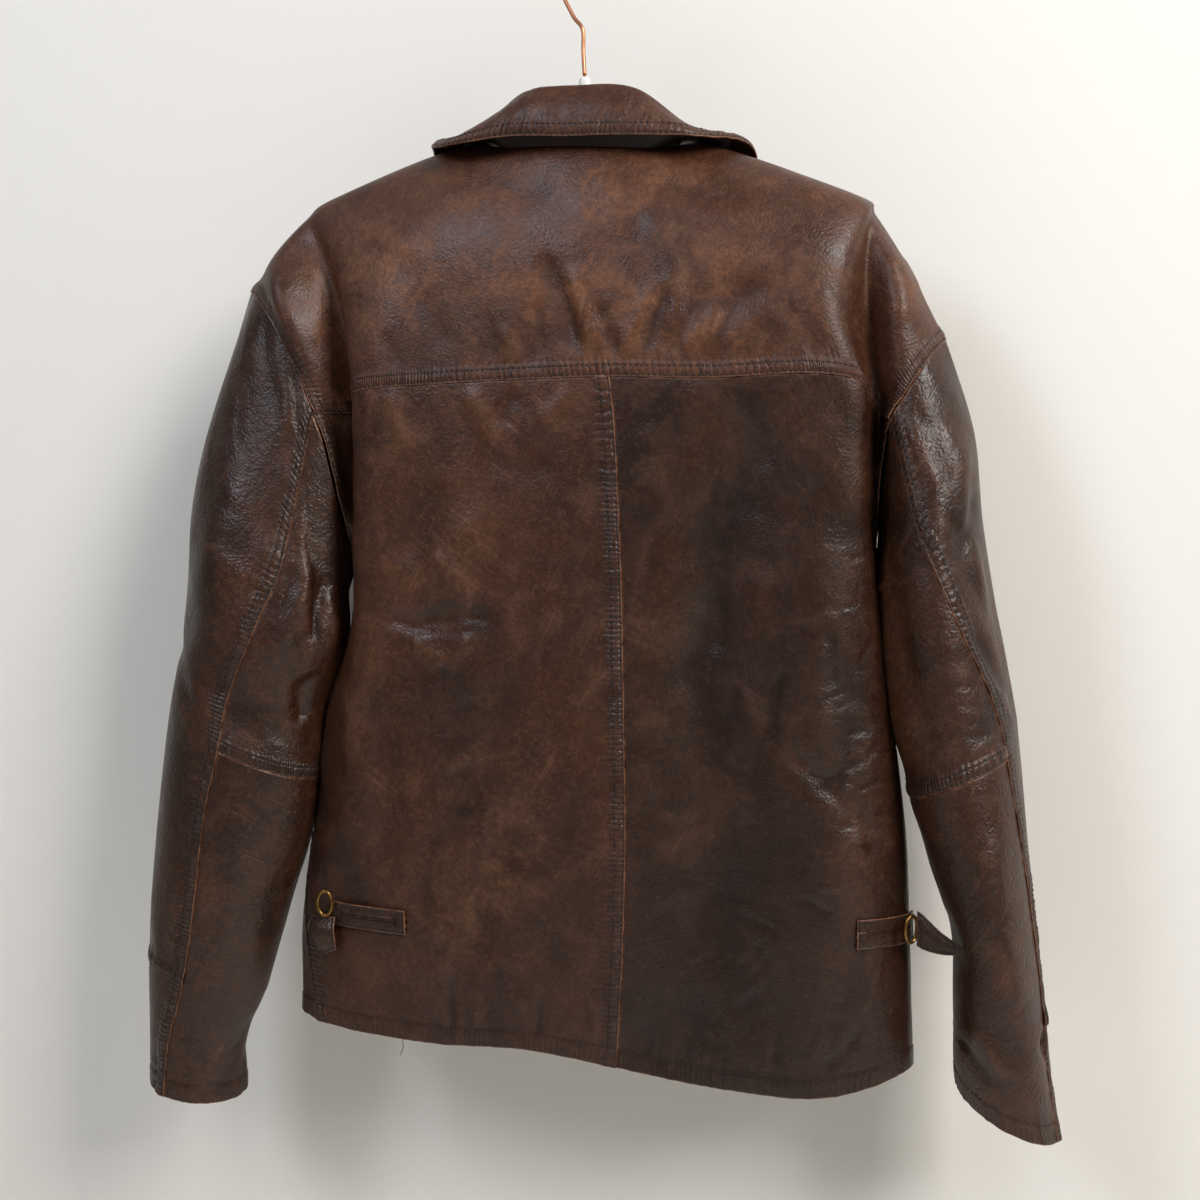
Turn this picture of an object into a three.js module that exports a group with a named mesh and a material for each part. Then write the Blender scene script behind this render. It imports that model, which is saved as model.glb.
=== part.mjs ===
// A worn leather jacket on a plastic hanger with a wire hook, as it hangs, with its back towards -Y.
// Millimetres, +Z up, +X to the right when the back is seen. The origin is the point where the hook bears.
// Each panel is a leather wall made from a surface of two parameters, u across and v down the garment.
import * as THREE from "three";

// Driving dimensions
const WALL = 1.4; // leather with its backing
const COLLAR_WALL = 1.8; // two layers of leather
const STRAP_WALL = 2.2; // a folded strap
const SEAM_INSET = 0.2; // half of the gap between two panels that run on flat
const CORNER_INSET = 0.75; // inset of an edge that meets its neighbour at an angle
const ARMHOLE_DROP = 0.3; // distance of the sleeve head below the armhole edge
const ARMPIT_CLEARANCE = 3; // how far the sleeve head stands off the side at the armpit
const STEP = 0.02; // parameter step for slopes of a surface

const WIRE = 3; // hook wire, diameter
const HOOK_RADIUS = 22; // centre line of the hook's arc
const HANGER_TOP = -94;
const HANGER_DEPTH = 8; // thickness of the hanger, front to back
const BUTTON_RADIUS = 9;
const BUTTON_THICKNESS = 3.2;
const BUTTON_HEIGHTS = [-262, -386, -510, -634, -758];
const BUTTON_GAP = 0.7; // under a button, for its thread shank
const BUTTON_LINE = 0; // x of the buttons
const RING_WIRE = 2.6;
const RING_RADIUS = 9.5;
const RING_NARROWING = 0.6; // width of a ring over its height

const LEATHER = { color: 0x4b3328, roughness: 0.5, metalness: 0 };
const LEATHER_DARK = { color: 0x2b1c16, roughness: 0.5, metalness: 0 };
const BRASS = { color: 0xa98545, roughness: 0.35, metalness: 1 };
const COPPER = { color: 0xb87a5c, roughness: 0.3, metalness: 1 };
const WHITE_PLASTIC = { color: 0xe9e8e4, roughness: 0.4, metalness: 0 };
const HORN = { color: 0x2a1d15, roughness: 0.35, metalness: 0 };

const jacket = new THREE.Group();

const point = ([x, y, z]) => new THREE.Vector3(x, y, z);
const clamp = (x, low, high) => Math.min(Math.max(x, low), high);

// Smooth step from 0 at x = 0 to 1 at x = 1
function ease(x) {
  const t = clamp(x, 0, 1);
  return t * t * (3 - 2 * t);
}

// The point at parameter s on the smooth curve through the points, one unit from each to the next
function along(points, s) {
  const last = points.length - 1;
  const i = clamp(Math.floor(s), 0, last - 1);
  const t = s - i;
  const b = points[i];
  const c = points[i + 1];
  const a = i > 0 ? points[i - 1] : b.clone().multiplyScalar(2).sub(c);
  const d = i + 2 <= last ? points[i + 2] : c.clone().multiplyScalar(2).sub(b);
  const mix = (p, q, r, w) =>
    0.5 * (2 * q + (r - p) * t + (2 * p - 5 * q + 4 * r - w) * t * t + (3 * q - p - 3 * r + w) * t ** 3);
  return new THREE.Vector3(mix(a.x, b.x, c.x, d.x), mix(a.y, b.y, c.y, d.y), mix(a.z, b.z, c.z, d.z));
}

// A surface through rows of points
function net(rows) {
  const grid = rows.map((row) => row.map(point));
  return (u, v) => along(grid.map((row) => along(row, u)), v);
}

// Soft trough (depth over 0, into the garment) or ridge (under 0) beside a crease line
function crease(line, width, depth, x, z) {
  let nearest = Infinity;
  let place = 0;
  for (let i = 0; i + 1 < line.length; i++) {
    const [ax, az] = line[i];
    const [bx, bz] = line[i + 1];
    const length2 = (bx - ax) ** 2 + (bz - az) ** 2;
    const t = clamp(((x - ax) * (bx - ax) + (z - az) * (bz - az)) / length2, 0, 1);
    const distance = Math.hypot(x - ax - t * (bx - ax), z - az - t * (bz - az));
    if (distance < nearest) {
      nearest = distance;
      place = (i + t) / (line.length - 1);
    }
  }
  const fade = ease(place / 0.25) * ease((1 - place) / 0.25);
  return depth * fade * Math.exp(-((nearest / width) ** 2));
}

// Parameters from a to b in n equal steps
const steps = (a, b, n) => Array.from({ length: n + 1 }, (_, i) => a + ((b - a) * i) / n);

// Parameters for a net whose spans are cut into different numbers of steps
function spans(from, counts) {
  const list = [from];
  counts.forEach((count, i) => {
    for (let k = 1; k <= count; k++) list.push(from + i + k / count);
  });
  return list;
}

function normalAt(surface, u, v) {
  const across = surface(u + STEP, v).sub(surface(u - STEP, v));
  const down = surface(u, v + STEP).sub(surface(u, v - STEP));
  return across.cross(down).normalize();
}

// Closed geometry from a grid of points on each of two faces, joined round the edge
function closedWall(front, back) {
  const rows = front.length;
  const columns = front[0].length;
  const positions = [...front.flat(), ...back.flat()].flatMap((p) => [p.x, p.y, p.z]);
  const offset = rows * columns;
  const index = [];
  const quad = (a, b, c, d) => index.push(a, b, c, a, c, d);
  for (let i = 0; i + 1 < rows; i++) {
    for (let j = 0; j + 1 < columns; j++) {
      const a = i * columns + j;
      quad(a, a + columns, a + columns + 1, a + 1);
      quad(offset + a, offset + a + 1, offset + a + columns + 1, offset + a + columns);
    }
  }
  const rim = [];
  for (let j = 0; j + 1 < columns; j++) rim.push(j);
  for (let i = 0; i + 1 < rows; i++) rim.push(i * columns + columns - 1);
  for (let j = columns - 1; j > 0; j--) rim.push((rows - 1) * columns + j);
  for (let i = rows - 1; i > 0; i--) rim.push(i * columns);
  rim.forEach((a, i) => {
    const b = rim[(i + 1) % rim.length];
    quad(a, b, offset + b, offset + a);
  });
  const corner = (k) => new THREE.Vector3(...positions.slice(3 * k, 3 * k + 3));
  let volume = 0;
  for (let k = 0; k < index.length; k += 3) {
    volume += corner(index[k]).dot(corner(index[k + 1]).cross(corner(index[k + 2])));
  }
  if (volume < 0) index.reverse();
  const geometry = new THREE.BufferGeometry();
  geometry.setAttribute("position", new THREE.Float32BufferAttribute(positions, 3));
  geometry.setIndex(index);
  return geometry;
}

// A wall of leather on a surface, with its edges drawn in by inset: [first u, last u, first v, last v]
function panel(surface, us, vs, { thickness = WALL, lift = 0, inset = [0, 0, 0, 0] } = {}) {
  const middle = vs.map((v) => us.map((u) => surface(u, v)));
  const normals = vs.map((v) => us.map((u) => normalAt(surface, u, v)));
  const towards = (p, q, distance) => p.add(q.clone().sub(p).setLength(distance));
  const lastRow = vs.length - 1;
  const lastColumn = us.length - 1;
  middle.forEach((row) => {
    if (inset[0]) towards(row[0], row[1], inset[0]);
    if (inset[1]) towards(row[lastColumn], row[lastColumn - 1], inset[1]);
  });
  us.forEach((_, j) => {
    if (inset[2]) towards(middle[0][j], middle[1][j], inset[2]);
    if (inset[3]) towards(middle[lastRow][j], middle[lastRow - 1][j], inset[3]);
  });
  const moved = (distance) =>
    middle.map((row, i) => row.map((p, j) => p.clone().addScaledVector(normals[i][j], distance)));
  return closedWall(moved(lift + thickness / 2), moved(lift - thickness / 2));
}

function add(name, geometry, finish, place) {
  geometry.computeVertexNormals();
  const mesh = new THREE.Mesh(geometry, new THREE.MeshStandardMaterial(finish));
  mesh.name = name;
  if (place) place(mesh);
  jacket.add(mesh);
}

// The back: 13 lines across, from the left armhole and side seam (0) over the fold beside the left
// sleeve (1 to 3), the centre seam (6) and the right fold (9 to 11) to the right armhole and side seam
// (12), and 13 lines down, from the shoulder and neck seam (0) by the yoke seam (4) to the hem (12).
const YOKE_SEAM = 4;
const ARMPIT = 7;
const HEM = 12;
const CENTRE = 6;
const backNet = net([
  [[-274, 2, -238], [-248, 6, -206], [-222, 8, -183], [-200, 8, -170], [-92, 8, -139], [-50, -26, -146],
    [4, -36, -150], [56, -27, -153], [94, 8, -148], [197, 8, -187], [210, 8, -201], [233, 6, -238],
    [259, 2, -288]],
  [[-256, -20, -246], [-243, -22, -220], [-217, -13, -192], [-192, -17, -178], [-100, -18, -148],
    [-50, -37, -162], [7, -44, -166], [62, -38, -168], [102, -18, -158], [196, -22, -197],
    [209, -14, -212], [230, -22, -247], [252, -18, -298]],
  [[-236, -30, -268], [-226, -41, -250], [-197, -17, -235], [-174, -36, -225], [-106, -46, -200],
    [-46, -52, -207], [16, -54, -209], [78, -52, -210], [138, -44, -208], [193, -41, -232],
    [207, -18, -250], [227, -31, -276], [245, -28, -310]],
  [[-219, -32, -300], [-206, -34, -296], [-183, -10, -285], [-165, -47, -275], [-103, -54, -258],
    [-38, -57, -260], [25, -58, -261], [94, -56, -261], [155, -52, -260], [191, -47, -273],
    [209, -13, -292], [224, -26, -312], [236, -32, -326]],
  [[-206, -30, -335], [-190, -13, -334], [-177, -5, -331], [-161, -50, -320], [-98, -56, -316],
    [-30, -57, -314], [34, -57, -313], [106, -56, -315], [170, -53, -313], [205, -46, -318],
    [209, -20, -331], [217, -8, -339], [226, -30, -344]],
  [[-198, -28, -357], [-186, -12, -357], [-176, -5, -355], [-162, -49, -352], [-98, -55, -352],
    [-28, -57, -353], [38, -56, -355], [108, -53, -355], [172, -52, -354], [205, -44, -355],
    [210, -21, -358], [215, -5, -361], [221, -14, -364]],
  [[-190, -22, -400], [-182, -9, -400], [-174, -8, -400], [-164, -46, -400], [-98, -54, -400],
    [-27, -56, -401], [40, -55, -402], [108, -49, -402], [172, -52, -402], [206, -41, -402],
    [211, -21, -403], [213, -4, -404], [215, -1, -405]],
  [[-189, 2, -450], [-181, -8, -450], [-174, -22, -450], [-163, -45, -450], [-98, -53, -450],
    [-26, -55, -450], [42, -54, -450], [109, -47, -450], [174, -52, -450], [207, -38, -450],
    [214, -20, -450], [215, -3, -450], [211, 8, -450]],
  [[-196, 12, -505], [-190, -6, -505], [-179, -25, -505], [-162, -43, -505], [-98, -52, -505],
    [-25, -55, -505], [43, -53, -505], [110, -46, -505], [176, -51, -505], [208, -38, -505],
    [220, -19, -505], [220, -1, -505], [214, 15, -505]],
  [[-212, 8, -565], [-204, -10, -565], [-188, -28, -565], [-162, -43, -565], [-99, -52, -565],
    [-25, -54, -565], [44, -53, -565], [110, -46, -565], [178, -51, -565], [211, -37, -565],
    [227, -17, -565], [227, 2, -565], [219, 20, -565]],
  [[-221, 0, -640], [-212, -15, -640], [-193, -31, -640], [-162, -43, -640], [-100, -51, -640],
    [-26, -54, -640], [45, -53, -640], [109, -46, -640], [180, -51, -640], [215, -36, -640],
    [236, -14, -640], [236, 6, -640], [226, 25, -640]],
  [[-222, -24, -722], [-210, -32, -722], [-192, -38, -722], [-161, -44, -722], [-101, -50, -722],
    [-28, -53, -722], [43, -52, -722], [107, -46, -722], [180, -50, -722], [217, -36, -722],
    [240, -13, -722], [240, 8, -722], [229, 27, -722]],
  [[-206, -37, -806], [-190, -42, -806], [-174, -45, -807], [-150, -47, -808], [-98, -49, -809],
    [-32, -51, -805], [38, -51, -811], [104, -47, -819], [176, -49, -819], [217, -36, -812],
    [243, -13, -804], [243, 8, -806], [231, 27, -808]],
]);

// Creases of the back as lines of [x, z] with a width and a depth
const BACK_CREASES = [
  { line: [[96, -372], [104, -450], [98, -560], [104, -680], [92, -760]], width: 16, depth: 4 },
  { line: [[-70, -390], [-78, -480], [-66, -560]], width: 18, depth: -3 },
  { line: [[-150, -486], [-112, -492], [-70, -488]], width: 7, depth: 3 },
  { line: [[-30, -600], [-62, -680], [-70, -760]], width: 16, depth: 3 },
  { line: [[150, -560], [190, -600], [214, -640]], width: 8, depth: 3 },
  { line: [[60, -190], [78, -240], [88, -296]], width: 10, depth: -3 },
  { line: [[-150, -540], [-140, -620], [-148, -690]], width: 14, depth: 4 },
];

function back(u, v) {
  const p = backNet(u, v);
  const inward = BACK_CREASES.reduce((sum, c) => sum + crease(c.line, c.width, c.depth, p.x, p.z), 0);
  p.y += inward * ease(u / 2) * ease((HEM - u) / 2);
  return p;
}

// The fronts: 6 lines across, from the armhole and side seam (0) by the neck point (3) to the front
// edge (5), and 10 lines down, from the shoulder and neck seam (0) by the armpit (4) to the hem (9).
const FRONT_ARMPIT = 4;
const FRONT_HEM = 9;
const FRONT_NECK = 3;
const FRONT_EDGE = 5;
const BUTTON_PLACE = 0.24; // the button line from the front edge, in lines of a front
const leftNet = net([
  [[-274, 2, -238], [-222, 8, -183], [-150, 8, -155], [-92, 8, -139], [-52, 45, -193], [14, 54, -220]],
  [[-246, 28, -262], [-212, 34, -225], [-150, 36, -205], [-100, 40, -200], [-52, 52, -222], [14, 57, -246]],
  [[-222, 34, -305], [-196, 36, -290], [-150, 46, -275], [-100, 52, -270], [-48, 56, -275], [14, 58, -288]],
  [[-202, 30, -365], [-186, 34, -350], [-150, 48, -345], [-100, 55, -346], [-45, 58, -348], [14, 59, -350]],
  [[-189, 2, -450], [-178, 30, -425], [-148, 47, -420], [-98, 55, -420], [-44, 58, -420], [14, 59, -420]],
  [[-196, 12, -505], [-182, 32, -500], [-150, 46, -498], [-98, 54, -498], [-44, 58, -498], [14, 59, -497]],
  [[-212, 8, -565], [-196, 33, -565], [-155, 46, -565], [-98, 53, -565], [-43, 57, -565], [14, 58, -565]],
  [[-221, 0, -640], [-208, 30, -640], [-162, 45, -640], [-100, 52, -640], [-43, 56, -640], [14, 57, -640]],
  [[-222, -24, -722], [-232, 8, -722], [-180, 40, -722], [-105, 51, -722], [-44, 55, -722], [14, 56, -722]],
  [[-206, -37, -806], [-232, -8, -807], [-196, 34, -808], [-110, 49, -809], [-45, 54, -810], [14, 55, -810]],
]);
const rightNet = net([
  [[259, 2, -288], [210, 8, -201], [150, 8, -169], [94, 8, -148], [58, 43, -197], [-14, 49, -219]],
  [[250, 28, -312], [208, 34, -245], [150, 36, -215], [100, 40, -205], [56, 50, -225], [-14, 52.8, -246]],
  [[236, 36, -345], [200, 38, -305], [150, 46, -282], [100, 51, -272], [52, 54, -276], [-14, 55, -288]],
  [[220, 32, -392], [196, 38, -362], [150, 47, -350], [100, 53, -348], [48, 56, -348], [-14, 56.5, -350]],
  [[211, 8, -450], [192, 34, -425], [150, 47, -420], [100, 53, -420], [48, 56, -420], [-14, 56.5, -420]],
  [[214, 15, -505], [196, 36, -500], [150, 46, -498], [100, 52, -498], [47, 55, -498], [-14, 56.5, -497]],
  [[219, 20, -565], [200, 38, -565], [152, 46, -565], [100, 51, -565], [46, 54, -565], [-14, 55.5, -565]],
  [[226, 25, -640], [204, 40, -640], [154, 46, -640], [100, 50, -640], [46, 53, -640], [-14, 54.5, -640]],
  [[229, 27, -722], [206, 41, -722], [155, 46, -722], [100, 49, -722], [45, 52, -722], [-14, 53.5, -722]],
  [[231, 27, -808], [208, 40, -809], [156, 45, -810], [100, 48, -810], [44, 51, -810], [-14, 52.5, -810]],
]);
const FRONT_CREASES = [
  { line: [[-120, -300], [-132, -420], [-120, -560]], width: 16, depth: 4 },
  { line: [[-70, -560], [-86, -660], [-80, -760]], width: 16, depth: 3 },
  { line: [[120, -300], [130, -430], [118, -560]], width: 16, depth: 4 },
  { line: [[90, -580], [104, -680], [98, -760]], width: 16, depth: 3 },
];

// A front, with its side seam and shoulder seam brought exactly to the edges of the back
function front(frontNet, backSide, shoulder) {
  return (u, v) => {
    const p = frontNet(u, v);
    const fromSide = 1 - ease(u);
    if (fromSide > 0 && v > FRONT_ARMPIT) {
      const edge = backNet(backSide, v - FRONT_ARMPIT + ARMPIT);
      p.addScaledVector(edge.sub(frontNet(0, v)), fromSide);
    }
    const fromTop = 1 - ease(v);
    if (fromTop > 0 && u < FRONT_NECK) {
      const i = clamp(Math.floor(u), 0, FRONT_NECK - 1);
      const place = shoulder[i] + (shoulder[i + 1] - shoulder[i]) * (u - i);
      p.addScaledVector(backNet(place, 0).sub(frontNet(u, 0)), fromTop);
    }
    const inward = FRONT_CREASES.reduce((sum, c) => sum + crease(c.line, c.width, c.depth, p.x, p.z), 0);
    p.y -= inward * ease(u) * ease(v / 2);
    return p;
  };
}
const frontLeft = front(leftNet, 0, [0, 2, 3.46, 4]);
const frontRight = front(rightNet, HEM, [12, 10, 8.54, 8]);

// Sleeves. A ring is an oval with its centre, half width a (outwards) and half depth b (to the back),
// lean (rise of its outer side) and the angle of the back seam, counted from the outer side by the back.
// Ring 5 carries the elbow seam of the under panel, ring 8 the forearm seam of the outer panel.
const ELBOW = 5;
const FOREARM = 8;
const CUFF = 10;
const BACK_SEAM = 2; // place round the sleeve: 0 outer side, 2 back seam, 4 inner side, 5 under seam
const UNDER_SEAM = 5;
const ROUND = 8;
const LEFT_RINGS = [
  { x: -246, y: -6, z: -398, a: 56, b: 40, lean: 63, seam: 115 },
  { x: -255, y: -10, z: -440, a: 63, b: 44, lean: 35, seam: 116 },
  { x: -259, y: -12, z: -500, a: 66, b: 47, lean: 12, seam: 101 },
  { x: -275, y: -12, z: -550, a: 58, b: 43, lean: 18, seam: 95 },
  { x: -279, y: -12, z: -592, a: 61, b: 46, lean: 26, seam: 91 },
  { x: -288, y: -12, z: -648, a: 62, b: 46, lean: 18, seam: 87 },
  { x: -302, y: -12, z: -712, a: 57, b: 44, lean: 10, seam: 90 },
  { x: -317, y: -12, z: -783, a: 48, b: 39, lean: 14, seam: 90 },
  { x: -327, y: -12, z: -835, a: 39, b: 35, lean: 6, seam: 80 },
  { x: -328, y: -12, z: -880, a: 38, b: 36, lean: 5, seam: 74 },
];
const RIGHT_RINGS = [
  { x: 250, y: 8, z: -405, a: 29, b: 52, lean: 52, seam: 100 },
  { x: 254.5, y: 8, z: -442, a: 31.5, b: 57, lean: 27, seam: 87 },
  { x: 262, y: 8, z: -495, a: 36, b: 60, lean: 10, seam: 64 },
  { x: 271, y: 7, z: -547, a: 37, b: 59, lean: 12, seam: 42 },
  { x: 277, y: 6, z: -589, a: 37, b: 58, lean: 18, seam: 37 },
  { x: 288, y: 4, z: -645, a: 33, b: 57, lean: 8, seam: 26 },
  { x: 300.5, y: 2, z: -705, a: 28.5, b: 55, lean: 2, seam: 18 },
  { x: 305, y: 0, z: -762, a: 31, b: 50, lean: 0, seam: 16 },
  { x: 308, y: 0, z: -800, a: 33, b: 45, lean: -5, seam: 16 },
  { x: 312, y: 0, z: -830, a: 35, b: 40, lean: -16, seam: 16 },
];
// Creases of a sleeve: lines of [place round it, ring] with a width in mm and a depth
const LEFT_CREASES = [
  { line: [[2.5, 0.9], [2.6, 2], [2.5, 3.6]], width: 9, depth: -3.5 },
  { line: [[3.0, 1.2], [3.1, 2.4], [2.9, 3.4]], width: 8, depth: 4 },
  { line: [[1.2, 0.5], [1.3, 1.6], [1.0, 3]], width: 12, depth: -3 },
  { line: [[2.3, 5.6], [2.7, 6.6], [2.6, 8]], width: 11, depth: -3 },
  { line: [[3.2, 3.4], [3.6, 4.2]], width: 9, depth: 5 },
];
const RIGHT_CREASES = [
  { line: [[0.9, 0.6], [1.0, 1.8], [0.8, 3]], width: 9, depth: -3 },
  { line: [[0.4, 1.6], [1.3, 2.2]], width: 7, depth: 3 },
  { line: [[2.3, 5.4], [2.8, 6.6], [2.5, 8]], width: 10, depth: -3 },
  { line: [[2.1, 8], [1.6, 9.1]], width: 8, depth: 4 },
  { line: [[3.1, 2], [3.2, 3.4], [3.0, 4.6]], width: 10, depth: 3 },
];
const ROUND_SCALE = 42; // millimetres round the sleeve for one place
const DOWN_SCALE = 55; // millimetres down the sleeve for one ring

function ringPoint(ring, side, t, bulge) {
  let angle = 45 * t;
  if (t <= BACK_SEAM) angle = (ring.seam * t) / BACK_SEAM;
  else if (t <= 4) angle = ring.seam + ((180 - ring.seam) * (t - BACK_SEAM)) / BACK_SEAM;
  const outwards = Math.cos(THREE.MathUtils.degToRad(angle));
  const backwards = Math.sin(THREE.MathUtils.degToRad(angle));
  return new THREE.Vector3(
    ring.x + side * (ring.a - bulge) * outwards,
    ring.y - (ring.b - bulge) * backwards,
    ring.z + ring.lean * outwards,
  );
}

// The armhole edge: down the back to the armpit for t from 0 to 4, up the front for t from 4 to 8
function armhole(backSide, frontSurface, t) {
  if (t <= BACK_SEAM) return back(backSide, (YOKE_SEAM * t) / BACK_SEAM);
  if (t <= 4) return back(backSide, YOKE_SEAM + ((ARMPIT - YOKE_SEAM) * (t - BACK_SEAM)) / BACK_SEAM);
  return frontSurface(0, ROUND - t);
}

// A sleeve surface: u round it and v down it, from the armhole (0) to the cuff (10)
function sleeve(rings, side, backSide, frontSurface, creases) {
  return (u, v) => {
    const t = ((u % ROUND) + ROUND) % ROUND;
    const inward = creases.reduce((sum, c) => {
      const line = c.line.map(([a, b]) => [a * ROUND_SCALE, b * DOWN_SCALE]);
      return sum + crease(line, c.width, c.depth, t * ROUND_SCALE, v * DOWN_SCALE);
    }, 0);
    const points = rings.map((ring) => ringPoint(ring, side, t, inward));
    const head = armhole(backSide, frontSurface, t);
    head.x += side * ARMPIT_CLEARANCE * Math.sin((Math.PI * t) / ROUND) ** 4;
    const first = points[0].clone().sub(head);
    points.unshift(head.addScaledVector(first, ARMHOLE_DROP / Math.max(first.length(), ARMHOLE_DROP)));
    return along(points, v);
  };
}
const sleeveLeft = sleeve(LEFT_RINGS, -1, 0, frontLeft, LEFT_CREASES);
const sleeveRight = sleeve(RIGHT_RINGS, 1, HEM, frontRight, RIGHT_CREASES);

// The collar runs from the left front over the back of the neck to the right front, u from 0 to 12
const FOLD_LINE = [
  [-2, 61, -209], [-60, 49, -175], [-86, 30, -148], [-100, 9, -131], [-69, -24, -130], [-32, -40, -112],
  [6, -43, -111], [48, -40, -115], [82, -24, -138], [107, 10, -142], [89, 30, -155], [64, 47, -180],
  [2, 58, -209],
].map(point);
const FALL_EDGE = [
  [-56, 61, -266], [-94, 50, -222], [-114, 34, -174], [-120, 5, -140], [-97, -36, -146], [-44, -48, -144],
  [4, -50, -147], [40, -49, -148], [92, -40, -151], [122, 5, -150.5], [117, 34, -182], [97, 50, -224],
  [56, 60, -266],
].map(point);
const COLLAR_END = 12;
const COLLAR_SHOULDER = 3; // where the collar passes the shoulder seams, from either end
const COLLAR_REACH = 1.78; // lines of a front between the shoulder and the end of the collar
const FALL_BULGE = 4;
const STAND_GAP = 2.6; // between the stand and the fold of the fall
const STAND_FOOT = 1.8; // the stand's foot above the neck seam

// The neck seam as the edge of the fronts and the back
function neckSeam(u) {
  const fromEnd = Math.min(u, COLLAR_END - u);
  if (fromEnd >= COLLAR_SHOULDER) return backNet(4 + (4 * (u - COLLAR_SHOULDER)) / 6, 0);
  const place = FRONT_NECK + COLLAR_REACH * (1 - fromEnd / COLLAR_SHOULDER);
  return u < COLLAR_SHOULDER ? leftNet(place, 0) : rightNet(place, 0);
}

// Level direction away from the neck at a place on the fold line
function awayFromNeck(u) {
  const run = along(FOLD_LINE, u + STEP).sub(along(FOLD_LINE, u - STEP));
  return new THREE.Vector3(-run.y, run.x, 0).normalize().negate();
}

function fall(u, v) {
  const p = along(FOLD_LINE, u).lerp(along(FALL_EDGE, u), v);
  const bulge = FALL_BULGE * Math.sin(Math.PI * v) * ease(u) * ease(COLLAR_END - u);
  return p.addScaledVector(awayFromNeck(u), bulge);
}

function stand(u, v) {
  const top = along(FOLD_LINE, u).addScaledVector(awayFromNeck(u), -STAND_GAP);
  top.z -= STAND_GAP;
  const foot = neckSeam(u);
  foot.z += STAND_FOOT;
  return foot.lerp(top, v);
}

function addBody() {
  const folds = [2, 2, 2, 3];
  add("back_yoke", panel(back, spans(0, [...folds, 3, 3, 3, 3, 3, 2, 2, 2]), spans(0, [3, 3, 2, 2]), {
    inset: [CORNER_INSET, CORNER_INSET, CORNER_INSET, SEAM_INSET],
  }), LEATHER);
  const down = spans(YOKE_SEAM, [2, 2, 2, 2, 2, 3, 3, 3]);
  add("back_left", panel(back, spans(0, [...folds, 4, 3]), down, {
    inset: [CORNER_INSET, SEAM_INSET, SEAM_INSET, 0],
  }), LEATHER);
  add("back_right", panel(back, spans(CENTRE, [4, 3, 3, 2, 2, 2]), down, {
    inset: [SEAM_INSET, CORNER_INSET, SEAM_INSET, 0],
  }), LEATHER);
  const frontDown = spans(0, [3, 2, 2, 2, 2, 2, 2, 2, 2]);
  const frontAcross = spans(0, [3, 2, 3, 2, 2]);
  const inset = [CORNER_INSET, 0, CORNER_INSET, 0];
  add("front_left", panel(frontLeft, frontAcross, frontDown, { inset }), LEATHER);
  add("front_right", panel(frontRight, frontAcross, frontDown, { inset }), LEATHER);
}

function addCollar() {
  const round = steps(0, COLLAR_END, 36);
  add("collar_fall", panel(fall, round, steps(0, 1, 4), { thickness: COLLAR_WALL }), LEATHER);
  add("collar_stand", panel(stand, round, steps(0, 1, 2)), LEATHER_DARK);
}

function addSleeve(name, surface) {
  const outer = steps(UNDER_SEAM - ROUND, BACK_SEAM, 10);
  const under = steps(BACK_SEAM, UNDER_SEAM, 7);
  const upperDown = spans(0, [4, 2, 2, 2, 2, 2, 2, 2]);
  const elbowDown = spans(0, [4, 2, 2, 2, 2]);
  const forearmDown = spans(FOREARM, [2, 2]);
  const underDown = spans(ELBOW, [2, 2, 2, 2, 2]);
  const head = [SEAM_INSET, SEAM_INSET, 0, SEAM_INSET];
  const cuff = [SEAM_INSET, SEAM_INSET, SEAM_INSET, 0];
  add(name + "_sleeve_upper", panel(surface, outer, upperDown, { inset: head }), LEATHER);
  add(name + "_sleeve_forearm", panel(surface, outer, forearmDown, { inset: cuff }), LEATHER);
  add(name + "_sleeve_under", panel(surface, under, elbowDown, { inset: head }), LEATHER);
  add(name + "_sleeve_elbow", panel(surface, under, underDown, { inset: cuff }), LEATHER);
}

// A rod along a path
function rod(path, diameter, stepsAlong) {
  const section = new THREE.Shape();
  section.absarc(0, 0, diameter / 2, 0, 2 * Math.PI);
  const curve = new THREE.CatmullRomCurve3(path.map(point), false, "centripetal");
  return new THREE.ExtrudeGeometry(section, { steps: stepsAlong, curveSegments: 4, extrudePath: curve });
}

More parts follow.
